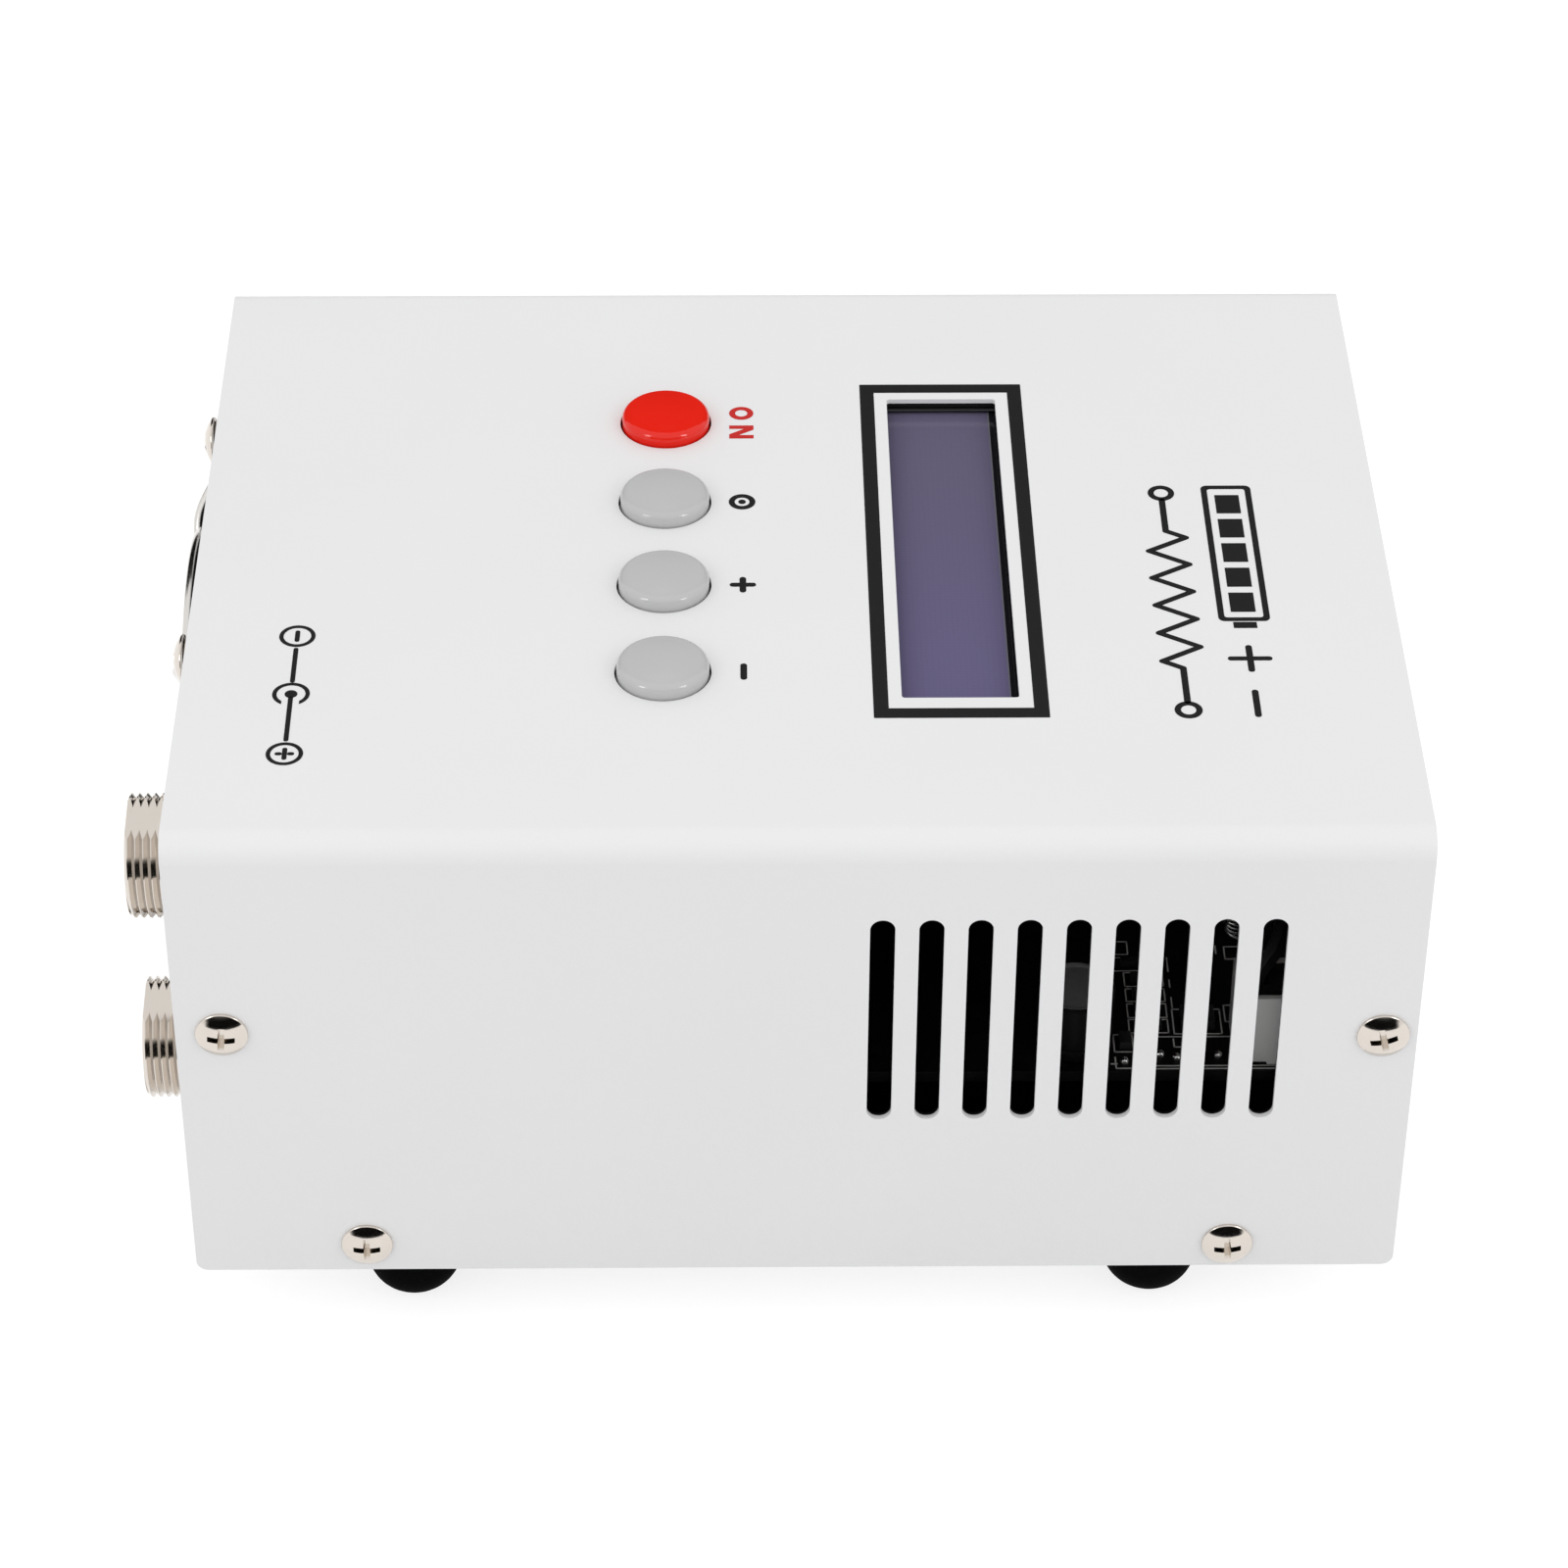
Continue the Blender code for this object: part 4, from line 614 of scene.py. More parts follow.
class Shape:
    """A solid being made, in millimetres."""

    def __init__(self) -> None:
        """Starts with nothing."""
        self.bm = bmesh.new()

    @classmethod
    def block(cls, low: Point3, high: Point3) -> "Shape":
        """A block between two corners."""
        shape = cls()
        size = Vector(high) - Vector(low)
        middle = (Vector(high) + Vector(low)) / 2
        scale = Matrix.Diagonal((*size, 1.0))
        bmesh.ops.create_cube(shape.bm, size=1.0, matrix=Matrix.Translation(middle) @ scale)
        return shape

    @classmethod
    def plate(cls, outline: Iterable[Point2], low: float, high: float) -> "Shape":
        """A flat outline drawn up from one height to another."""
        shape = cls()
        corners = [shape.bm.verts.new((x, y, low)) for x, y in outline]
        shape.bm.faces.new(corners)
        return shape.drawn_up(high - low)

    @classmethod
    def disc(cls, radius: float, low: float, high: float, steps: int = 64) -> "Shape":
        """A round plate about the Z axis."""
        shape = cls()
        at = Matrix.Translation((0, 0, low)) @ Matrix.Rotation(math.pi / steps, 4, "Z")
        bmesh.ops.create_circle(shape.bm, cap_ends=True, radius=radius, segments=steps, matrix=at)
        return shape.drawn_up(high - low)

    @classmethod
    def stadium(cls, width: float, length: float, low: float, high: float) -> "Shape":
        """A round-ended plate, long along Y, about the Z axis."""
        shape = cls.disc(width / 2, low, high, 32)
        for vert in shape.bm.verts:
            vert.co.y += math.copysign((length - width) / 2, vert.co.y)
        return shape

    @classmethod
    def lathe(cls, profile: Sequence[Point2], steps: int = 64, ring: bool = False) -> "Shape":
        """A half-section of (radius, height) points turned about the Z axis.

        Args:
            profile: The half-section's points.
            steps: Facets of the full turn.
            ring: Whether the half-section closes on itself.

        Returns:
            The turned solid.
        """
        shape = cls()
        verts = [shape.bm.verts.new((radius, 0, height)) for radius, height in profile]
        pairs = list(zip(verts, verts[1:] + verts[:1] if ring else verts[1:]))
        edges = [shape.bm.edges.new(pair) for pair in pairs]
        bmesh.ops.spin(
            shape.bm,
            geom=verts + edges,
            cent=(0, 0, 0),
            axis=(0, 0, 1),
            angle=2 * math.pi,
            steps=steps,
            use_merge=True,
        )
        return shape.cleaned()

    @classmethod
    def of_node(cls, name: str) -> "Shape":
        """A merged copy of a CAD node's mesh."""
        shape = cls()
        shape.bm.from_mesh(frame["nodes"][name].data)
        bmesh.ops.scale(shape.bm, vec=(1 / MM,) * 3, verts=shape.bm.verts[:])
        bmesh.ops.remove_doubles(shape.bm, verts=shape.bm.verts[:], dist=1e-3)
        return shape

    def drawn_up(self, height: float) -> "Shape":
        """Draws the shape's faces up into solids."""
        made = bmesh.ops.extrude_face_region(self.bm, geom=self.bm.faces[:])
        verts = [item for item in made["geom"] if isinstance(item, bmesh.types.BMVert)]
        bmesh.ops.translate(self.bm, vec=(0, 0, height), verts=verts)
        return self.cleaned()

    def cleaned(self) -> "Shape":
        """Merges doubled points and points every face outwards."""
        bmesh.ops.remove_doubles(self.bm, verts=self.bm.verts[:], dist=1e-4)
        bmesh.ops.recalc_face_normals(self.bm, faces=self.bm.faces[:])
        return self

    def moved(self, x: float = 0.0, y: float = 0.0, z: float = 0.0) -> "Shape":
        """Moves the shape."""
        bmesh.ops.translate(self.bm, vec=(x, y, z), verts=self.bm.verts[:])
        return self

    def turned(self, degrees: float, axis: Axis) -> "Shape":
        """Turns the shape about a main axis through the origin."""
        turn = Matrix.Rotation(math.radians(degrees), 3, axis.name)
        bmesh.ops.rotate(self.bm, cent=(0, 0, 0), matrix=turn, verts=self.bm.verts[:])
        return self

    def copied(self) -> "Shape":
        """A second shape like this one."""
        twin = Shape()
        twin.bm.free()
        twin.bm = self.bm.copy()
        return twin

    def gathered(self, *others: "Shape") -> "Shape":
        """Takes in other shapes as they are, without joining them."""
        for other in others:
            mesh = bpy.data.meshes.new("gathered")
            other.bm.to_mesh(mesh)
            self.bm.from_mesh(mesh)
            bpy.data.meshes.remove(mesh)
        return self

    def joined(self, other: "Shape", how: Joining) -> "Shape":
        """Cuts, unites or intersects this solid with another.

        Args:
            other: The other solid.
            how: The kind of joining.

        Returns:
            This shape with the result.
        """
        makers = []
        for part in (self, other):
            mesh = bpy.data.meshes.new("part")
            part.bm.to_mesh(mesh)
            makers.append(linked("part", mesh))
        modifier = makers[0].modifiers.new("joining", "BOOLEAN")
        modifier.operation = how.value
        modifier.solver = "EXACT"
        modifier.object = makers[1]
        bpy.context.view_layer.update()
        graph = bpy.context.evaluated_depsgraph_get()
        result = bpy.data.meshes.new_from_object(makers[0].evaluated_get(graph))
        self.bm.clear()
        self.bm.from_mesh(result)
        for obj in makers:
            mesh = obj.data
            bpy.data.objects.remove(obj)
            bpy.data.meshes.remove(mesh)
        bpy.data.meshes.remove(result)
        return self

    def cut(self, *tools: "Shape") -> "Shape":
        """Takes the tools out of this solid."""
        for tool in tools:
            self.joined(tool, Joining.CUT)
        return self

    def united(self, *others: "Shape") -> "Shape":
        """Fuses the others with this solid."""
        for other in others:
            self.joined(other, Joining.UNITE)
        return self

    def rounded(
        self,
        width: float,
        segments: int = 2,
        sharper: float = 30.0,
        where: Optional[Callable[[Vector], bool]] = None,
    ) -> "Shape":
        """Rounds edges that are sharper than an angle.

        Args:
            width: Width of the rounding, in millimetres.
            segments: Facets across it.
            sharper: The angle in degrees.
            where: A test of an edge's middle, for which edges to take.

        Returns:
            This shape.
        """
        limit = math.radians(sharper)
        bmesh.ops.dissolve_limit(
            self.bm, angle_limit=math.radians(0.2), verts=self.bm.verts[:], edges=self.bm.edges[:]
        )
        edges = []
        for edge in self.bm.edges:
            if not edge.is_manifold or edge.calc_face_angle() < limit:
                continue
            middle = (edge.verts[0].co + edge.verts[1].co) / 2
            if where is None or where(middle):
                edges.append(edge)
        bmesh.ops.bevel(
            self.bm,
            geom=edges,
            offset=width,
            offset_type="OFFSET",
            segments=segments,
            profile=0.5,
            affect="EDGES",
            clamp_overlap=True,
            material=-1,
        )
        return self

    def metre_mesh(self, name: str, smooth: float = 0.0) -> bpy.types.Mesh:
        """Turns the shape into a mesh in metres. The shape is used up.

        Args:
            name: The mesh's name.
            smooth: Edges sharper than this many degrees stay sharp; 0 leaves every face flat.

        Returns:
            The mesh.
        """
        bmesh.ops.scale(self.bm, vec=(MM, MM, MM), verts=self.bm.verts[:])
        if smooth:
            limit = math.radians(smooth)
            for face in self.bm.faces:
                face.smooth = True
            for edge in self.bm.edges:
                edge.smooth = edge.is_manifold and edge.calc_face_angle() < limit
        mesh = bpy.data.meshes.new(name)
        self.bm.to_mesh(mesh)
        self.bm.free()
        return mesh


def arc(centre: Point2, radius: float, start: float, end: float, steps: int) -> list[Point2]:
    """Points along an arc.

    Args:
        centre: Its middle.
        radius: Its radius.
        start: First angle, in degrees.
        end: Last angle.
        steps: How many steps it takes.

    Returns:
        The points, both ends among them.
    """
    angles = [math.radians(start + (end - start) * step / steps) for step in range(steps + 1)]
    return [
        (centre[0] + radius * math.cos(angle), centre[1] + radius * math.sin(angle))
        for angle in angles
    ]


def middle_of(node: str) -> Vector:
    """Middle of a CAD node's box, in millimetres."""
    low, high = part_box(node)
    return (low + high) / 2 / MM


def key_places(pitch: float = 18.7) -> list[float]:
    """X of the four keys, from the power key on."""
    return [(number - 1.5) * pitch for number in range(4)]


@dataclass
class Assembly:
    """A group of pieces that are made and dressed together."""

    def place(
        self,
        name: str,
        shape: Shape,
        finish: Finish,
        slot: str,
        stands_for: Sequence[str] = (),
        body: Body = Body.CASE,
        smooth: float = 32.0,
        weighted: bool = False,
    ) -> bpy.types.Object:
        """Makes an object of a shape and gives it its finish and body.

        Args:
            name: The piece's name.
            shape: Its shape, in millimetres.
            finish: Its finish.
            slot: The record's material slot of the piece; not used.
            stands_for: CAD nodes that it replaces.
            body: The body that it rides on.
            smooth: Edges sharper than this many degrees stay sharp.
            weighted: Whether large faces rule the shading, as on folded sheet.

        Returns:
            The object.
        """
        obj = linked(name, shape.metre_mesh(name, smooth))
        obj.data.materials.append(finish.material())
        if weighted:
            obj.modifiers.new("even shading", "WEIGHTED_NORMAL").keep_sharp = True
        return self.mount(obj, stands_for, body)

    def mount(
        self, obj: bpy.types.Object, stands_for: Sequence[str], body: Body
    ) -> bpy.types.Object:
        """Puts an object on its body in place of its CAD nodes."""
        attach(obj, body.value)
        if stands_for:
            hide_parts(*stands_for)
        LOG.info("%s: %d faces", obj.name, len(obj.data.polygons))
        return obj

    def build(self) -> None:
        """Makes every piece of the group."""
        raise NotImplementedError


@dataclass
class Cover(Assembly):
    """The folded cover, with its slots, window and holes.

    Attributes:
        half_width: X of the walls' outer faces.
        front: Y of the end over the fan's panel.
        rear: Y of the other end.
        foot: Height of the walls' lower edges.
        top: Height of the top face.
        sheet: Thickness of the sheet.
        bend: Outer radius of the bends.
        corner: Radius of the walls' lower corners.
        edge_round: Rounding of the coated edges.
        slot_pitch: Spacing of the slots.
        slot_first: Y of the first one.
        slot_count: How many there are in a wall.
        slot_width: Width of a slot.
        slot_length: Its length.
        slot_height: Height of its middle.
        hole: Radius of the screw holes.
        screw_places: Y and height of the screw holes in a wall.
        window: Size of the display's window along X and Y.
        window_corner: Radius of its corners.
        window_y: Y of its middle.
        key_y: Y of the keys.
        key_hole: Radius of their holes.
        coat: The sheet's coat, with painted shade on the faces that look into the case.
    """

    half_width: float = 62.5
    front: float = -73.55
    rear: float = 80.45
    foot: float = 8.4
    top: float = 78.4
    sheet: float = 1.2
    bend: float = 3.4
    corner: float = 1.5
    edge_round: float = 0.16
    slot_pitch: float = 6.0
    slot_first: float = 13.74
    slot_count: int = 9
    slot_width: float = 3.1
    slot_length: float = 32.4
    slot_height: float = 50.05
    hole: float = 1.8
    screw_places: tuple[Point2, ...] = (
        (-67.75, 48.6), (76.15, 47.6), (-51.45, 13.0), (58.85, 12.4)
    )
    window: Point2 = (67.2, 14.7)
    window_corner: float = 0.4
    window_y: float = 24.05
    key_y: float = -13.15
    key_hole: float = 6.12
    coat: Finish = PowderCoat(
        "cover_coat",
        # Boxes whose faces are painted dark as shade inside the case.
        shade_boxes=(
            ((-61.4, -72.4, 9.2), (61.4, 79.3, 77.35)),
            ((-61.75, -72.4, 9.2), (61.75, 79.3, 74.0)),
            ((-60.5, -72.4, 9.2), (60.5, 79.3, 77.75)),
        ),
    )

    def folded_sheet(self) -> Shape:
        """The blank: a block opened below and at both ends, bent and given its thickness."""
        shape = Shape.block(
            (-self.half_width, self.front, self.foot), (self.half_width, self.rear, self.top)
        )
        ends = [f for f in shape.bm.faces if abs(f.normal.y) > 0.5 or f.normal.z < -0.5]
        bmesh.ops.delete(shape.bm, geom=ends, context="FACES")
        folds = [e for e in shape.bm.edges if e.is_manifold]
        bmesh.ops.bevel(
            shape.bm,
            geom=folds,
            offset=self.bend,
            offset_type="OFFSET",
            segments=10,
            profile=0.5,
            affect="EDGES",
            material=-1,
        )
        bmesh.ops.recalc_face_normals(shape.bm, faces=shape.bm.faces[:])
        outward = next(f for f in shape.bm.faces if f.normal.z > 0.99 or f.normal.z < -0.99)
        if outward.normal.z < 0:
            bmesh.ops.reverse_faces(shape.bm, faces=shape.bm.faces[:])
        bmesh.ops.solidify(shape.bm, geom=shape.bm.faces[:], thickness=self.sheet)
        bmesh.ops.recalc_face_normals(shape.bm, faces=shape.bm.faces[:])
        return shape

    def wall_tools(self) -> Shape:
        """Everything punched through both walls: slots and screw holes."""
        tools = Shape()
        reach = self.half_width + 2
        for number in range(self.slot_count):
            slot = Shape.stadium(self.slot_width, self.slot_length, -reach, reach)
            slot.turned(90, Axis.X).turned(90, Axis.Z)
            tools.gathered(
                slot.moved(0, self.slot_first + number * self.slot_pitch, self.slot_height)
            )
        for along, height in self.screw_places:
            hole = Shape.disc(self.hole, -reach, reach, 32).turned(90, Axis.Y)
            tools.gathered(hole.moved(0, along, height))
        return tools

    def top_tools(self) -> Shape:
        """The window and the key holes."""
        low, high = self.top - 3, self.top + 2
        half, deep = self.window[0] / 2, self.window[1] / 2
        window = Shape.block(
            (-half, self.window_y - deep, low), (half, self.window_y + deep, high)
        )
        middle = (low + high) / 2
        window.rounded(self.window_corner, 3, 30, lambda spot: abs(spot.z - middle) < 0.1)
        for across in key_places():
            hole = Shape.disc(self.key_hole, low, high, 72)
            window.gathered(hole.moved(across, self.key_y, 0))
        return window

    def build(self) -> None:
        """Folds, punches and rounds the sheet."""
        shape = self.folded_sheet()

        def lower_corner(spot: Vector) -> bool:
            near_end = min(abs(spot.y - self.front), abs(spot.y - self.rear)) < 0.1
            return near_end and abs(spot.z - self.foot) < 0.1

        shape.rounded(self.corner, 6, 60, lower_corner)
        shape.cut(self.wall_tools(), self.top_tools())
        shape.rounded(self.edge_round, 2, 40)
        self.place("folded_cover", shape, self.coat, "white_powder_coat", ["cover"], weighted=True)


@dataclass
class Screws(Assembly):
    """Domed cross-recess screws of the case and the fan.

    Attributes:
        head_radius: Radius of the head.
        head_height: Its height.
        rim_slope: Slope of the dome at the rim, in degrees.
        rim_round: Radius of the rim's rounding.
        shank_radius: Radius of the shank.
        pitch: Pitch of its thread.
        thread_depth: Depth of the thread.
        point: Chamfer of the shank's end.
        recess: Half length, half width and depth of one arm of the cross.
        recess_taper: What is left of length and width at the recess's bottom.
        wall: X of the walls that the heads of the case's screws stand on.
        fan_stand: Distance of the fan's screws' seat from their heads' tops in the solids.
        lengths: Shanks of the case's and the fan's screws.
        angles: How the crosses of the case's screws are turned, in degrees.
    """

    head_radius: float = 3.3
    head_height: float = 1.5
    rim_slope: float = 36.0
    rim_round: float = 0.3
    shank_radius: float = 1.5
    pitch: float = 0.5
    thread_depth: float = 0.25
    point: float = 0.4
    recess: Point3 = (2.35, 0.5, 1.75)
    recess_taper: Point2 = (0.42, 0.6)
    wall: float = 62.52
    fan_stand: float = 1.8
    lengths: Point2 = (6.0, 12.0)
    angles: tuple[float, ...] = (-4.0, 14.0, 0.0, 4.0)

    def screw(self, length: float) -> Shape:
        """One screw standing on the origin with its head up.

        Args:
            length: Length of the shank below the head.

        Returns:
            The screw.
        """
        rim = math.radians(self.rim_slope)
        ball = (self.head_radius - self.rim_round * 0.4) / math.sin(rim)
        profile = []
        for step in range(10):
            angle = rim * step / 9
            fall = ball * (1 - math.cos(angle))
            profile.append((ball * math.sin(angle), self.head_height - fall))
        centre = (self.head_radius - self.rim_round, profile[-1][1] - self.rim_round * 0.75)
        profile += arc(centre, self.rim_round, 90 - self.rim_slope * 1.4, 0, 4)
        profile += [(self.head_radius - 0.12, 0), (self.shank_radius, 0)]
        root = self.shank_radius - self.thread_depth
        for turn in range(int((length - 1.0) / self.pitch)):
            low = -self.pitch - turn * self.pitch
            profile += [(self.shank_radius, low), (root, low - self.pitch / 2)]
        profile += [(self.shank_radius, -length + self.point)]
        profile += [(self.shank_radius - self.point, -length), (0, -length)]
        return Shape.lathe(profile, 48).cut(self.cross())

    def cross(self) -> Shape:
        """The cross-shaped recess, tapering to its bottom."""
        reach, half, deep = self.recess
        wings = []
        for turn in (0, 90):
            wing = Shape.block(
                (-reach, -half, self.head_height - deep), (reach, half, self.head_height + 1)
            )
            for vert in wing.bm.verts:
                if vert.co.z < self.head_height:
                    vert.co.x *= self.recess_taper[0]
                    vert.co.y *= self.recess_taper[1]
            wings.append(wing.turned(turn, Axis.Z))
        return wings[0].united(wings[1])

    def build(self) -> None:
        """Four screws in each wall, and four that hold the fan."""
        plate = Plating("nickel_screw", polish=0.08, haze=0.05)
        case_screw, fan_screw = (self.screw(length) for length in self.lengths)
        places = ("front_upper", "rear_upper", "front_lower", "rear_lower")
        for side, name in ((1, "right"), (-1, "left")):
            for place, angle in zip(places, self.angles):
                node = f"cover_screw_{name}_{place}"
                spot = middle_of(node)
                screw = case_screw.copied().turned(angle * side, Axis.Z)
                screw.turned(90 * side, Axis.Y).moved(side * self.wall, spot.y, spot.z)
                self.place(f"case_screw_{name}_{place}", screw, plate, "nickel", [node])
        for number in (1, 2, 3, 4):
            node = f"fan_screw_{number}"
            low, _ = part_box(node)
            spot = middle_of(node)
            screw = fan_screw.copied().turned(20.0 + 31 * number, Axis.Z).turned(90, Axis.X)
            screw.moved(spot.x, low.y / MM + self.fan_stand, spot.z)
            self.place(f"guard_screw_{number}", screw, plate, "nickel", [node])


@dataclass
class Feet(Assembly):
    """Four push-in rubber feet.

    Attributes:
        radius: Radius of a foot.
        dome: Height of its dome.
        flat: Radius of the flat that it stands on.
        neck: Radius of its neck in the floor's hole.
        neck_height: Height of the neck.
        barb: Radius of the barb above the floor.
        tip: Radius of the barb's tip.
        reach: Height of the tip over the floor's underside.
        floor: Height of the floor's underside.
        play: Gap between the foot and the floor.
    """

    radius: float = 6.2
    dome: float = 5.0
    flat: float = 2.0
    neck: float = 2.4
    neck_height: float = 1.4
    barb: float = 3.3
    tip: float = 1.6
    reach: float = 4.0
    floor: float = 8.9
    play: float = 0.02

    def build(self) -> None:
        """Domed feet, each with its neck and barb."""
        profile = [(0.0, 0.0), (self.flat, 0.0)]
        flare = self.radius - self.flat
        for step in range(1, 13):
            angle = math.radians(-90 + 90 * step / 12)
            profile.append(
                (self.flat + flare * math.cos(angle), self.dome * (1 + math.sin(angle)))
            )
        seat, above = self.floor - self.play, self.floor + self.neck_height
        end = self.floor + self.reach
        profile += [(self.radius, self.floor - 0.35), (self.radius - 0.3, seat), (self.neck, seat)]
        profile += [(self.neck, above), (self.barb, above), (self.tip, end), (0, end)]
        foot = Shape.lathe(profile, 56)
        for name in ("front_right", "rear_right", "front_left", "rear_left"):
            node = f"foot_{name}"
            spot = middle_of(node)
            piece = foot.copied().moved(spot.x, spot.y, 0)
            self.place(f"rubber_foot_{name}", piece, FOOT_RUBBER, "black_rubber", [node])


@dataclass
class Keys(Assembly):
    """Four domed keys, each riding with its plunger.

    Attributes:
        radius: Radius of a cap.
        collar: Radius of its collar under the sheet.
        collar_height: Height of the collar.
        top: Height of the crown's middle.
        crown: How far the crown falls to the shoulder.
        shoulder: Radius of the shoulder's rounding.
        sheet_under: Height of the collar's upper face.
        bottom: Height of the cap's lower end.
    """

    radius: float = 5.85
    collar: float = 6.9
    collar_height: float = 1.0
    top: float = 80.85
    crown: float = 0.6
    shoulder: float = 1.0
    sheet_under: float = 76.9
    bottom: float = 74.1

    def cap(self) -> Shape:
        """A cap: shallow dome, round shoulder, straight skirt and collar."""
        edge = self.top - self.crown
        inner = self.radius - self.shoulder
        shares = [step / 6 for step in range(7)]
        profile = [(inner * share, self.top - self.crown * share * share) for share in shares]
        profile += arc((inner, edge - self.shoulder), self.shoulder, 78, 0, 9)
        under = self.sheet_under - self.collar_height
        profile += [(self.radius, self.sheet_under), (self.collar, self.sheet_under)]
        profile += [(self.collar, under), (self.radius, under)]
        profile += [(self.radius, self.bottom), (0, self.bottom)]
        return Shape.lathe(profile, 72)

    def build(self) -> None:
        """The red power key and the three grey ones."""
        cap = self.cap()
        for name in ("on", "set", "up", "down"):
            node = f"key_{name}"
            spot = middle_of(node)
            piece = cap.copied().moved(spot.x, spot.y, 0)
            finish, slot = (RED_PLASTIC, "red_key") if name == "on" else (GREY_PLASTIC, "grey_key")
            self.place(f"cap_{name}", piece, finish, slot, [node], Body[f"{name.upper()}_KEY"])


@dataclass
class Prints(Assembly):
    """Screen printing on the cover: display border, switch word and plain signs.

    Attributes:
        surface: Height of the cover's top.
        lift: Gap between the sheet and the ink.
        thick: Thickness of the ink.
        stroke: Width of the signs' lines.
        fine: Width of the polarity sign's lines.
        bar_length: Length of the plus and minus beside the keys.
        row: Y of the keys' signs.
    """

    surface: float = 78.4
    lift: float = 0.015
    thick: float = 0.02
    stroke: float = 0.85
    fine: float = 0.62
    bar_length: float = 3.4
    row: float = -3.0

    @property
    def level(self) -> float:
        """Height of the ink's underside."""
        return self.surface + self.lift

    def band(self, outer: Point2, inner: Point2, centre: Point2, corner: float) -> Shape:
        """A rectangular printed ring.

        Args:
            outer: Its outer size along X and Y.
            inner: Its inner size.
            centre: Its middle.
            corner: Corner radius outside.

        Returns:
            The ring.
        """
        rings = []
        for (wide, deep), radius, rise in ((outer, corner, 0.0), (inner, corner * 0.5, 1.0)):
            across, along = wide / 2, deep / 2

            def upright(spot: Vector) -> bool:
                return abs(abs(spot.x) - across) < 0.01 and abs(abs(spot.y) - along) < 0.01

            low, high = self.level - rise, self.level + self.thick + rise
            ring = Shape.block((-across, -along, low), (across, along, high))
            rings.append(ring.rounded(radius, 5, 30, upright))
        return rings[0].cut(rings[1]).moved(centre[0], centre[1], 0)

    def bar(self, centre: Point2, along_x: bool = True) -> Shape:
        """A printed bar with round ends."""
        bar = Shape.stadium(self.stroke, self.bar_length, self.level, self.level + self.thick)
        if along_x:
            bar.turned(90, Axis.Z)
        return bar.moved(centre[0], centre[1], 0)

    def dot(self, centre: Point2, radius: float, steps: int) -> Shape:
        """A printed round patch."""
        disc = Shape.disc(radius, self.level, self.level + self.thick, steps)
        return disc.moved(centre[0], centre[1], 0)

    def ring(self, centre: Point2, outer: float, inner: float) -> Shape:
        """A printed circle line."""
        low, high = self.level, self.level + self.thick
        profile = [(inner, low), (outer, low), (outer, high), (inner, high)]
        return Shape.lathe(profile, 56, ring=True).moved(centre[0], centre[1], 0)

    def line(self, start: Point2, end: Point2, width: float) -> Shape:
        """A printed straight line with round ends.

        Args:
            start: Its first end.
            end: Its other end.
            width: Its width.

        Returns:
            The line as a thin solid.
        """
        way = Vector(end) - Vector(start)
        line = Shape.stadium(width, way.length + width, self.level, self.level + self.thick)
        line.turned(math.degrees(math.atan2(way.y, way.x)) - 90, Axis.Z)
        middle = (Vector(end) + Vector(start)) / 2
        return line.moved(middle.x, middle.y, 0)

    def path(self, spots: Sequence[Point2], width: float) -> Shape:
        """A printed line through several points, fused into one."""
        lines = [self.line(start, end, width) for start, end in zip(spots, spots[1:])]
        return lines[0].united(*lines[1:])

    def patch(self, low: Point2, high: Point2) -> Shape:
        """A printed rectangle between two corners."""
        return Shape.block((*low, self.level), (*high, self.level + self.thick))

    def switch_word(self, centre: Point2) -> Shape:
        """The word ON in bold capitals, running along X with its top towards Y."""
        wide, high, gap, stroke = 3.1, 3.26, 1.4, 0.8
        left = centre[0] - wide - gap / 2
        round_letter = self.ring((0, 0), high / 2, high / 2 - stroke)
        bmesh.ops.scale(round_letter.bm, vec=(wide / high, 1, 1), verts=round_letter.bm.verts[:])
        round_letter.moved(left + wide / 2, centre[1])
        start, bottom = centre[0] + gap / 2, centre[1] - high / 2
        slant = stroke * 1.25
        corners = [(0, 0), (stroke, 0), (stroke, high - 1.25), (wide - slant, 0), (wide, 0)]
        corners += [(wide - x, high - y) for x, y in corners]
        outline = [(start + x, bottom + y) for x, y in corners]
        return round_letter.gathered(Shape.plate(outline, self.level, self.level + self.thick))

    def battery_sign(self, centre: Point2) -> Shape:
        """A battery with its bars, and its two signs beside it."""
        across, along = centre
        bar_length, bar_half, bar_pitch, arm = 4.2, 1.6, 5.5, 2.4
        sign = self.band((30.4, 6.6), (28.8, 5.0), (across - 10.2, along), 0.8)
        sign.gathered(self.patch((across + 5.2, along - 1.5), (across + 6.5, along + 1.5)))
        for number in range(5):
            low = across - 23.2 + number * bar_pitch
            sign.gathered(self.patch((low, along - bar_half), (low + bar_length, along + bar_half)))
        plus, minus = across + 13.0, across + 20.0
        upright = self.line((plus, along - arm), (plus, along + arm), self.stroke)
        level = self.line((plus - arm, along), (plus + arm, along), self.stroke)
        dash = self.line((minus, along), (minus + 2 * arm, along), self.stroke)
        return sign.gathered(upright.united(level), dash)

    def load_sign(self, centre: Point2) -> Shape:
        """A load's zigzag between its two ends."""
        across, along = centre
        tips, half, lead, height = 10, 15.0, 22.0, 2.5
        spots = [(across - lead, along), (across - half, along)]
        for tip in range(tips):
            side = height if tip % 2 == 0 else -height
            spots.append((across - half + 2 * half * (tip + 0.5) / tips, along + side))
        spots += [(across + half, along), (across + lead, along)]
        sign = self.path(spots, self.stroke)
        for end in (-23.7, 23.7):
            sign.gathered(self.ring((across + end, along), 1.75, 0.95))
        return sign

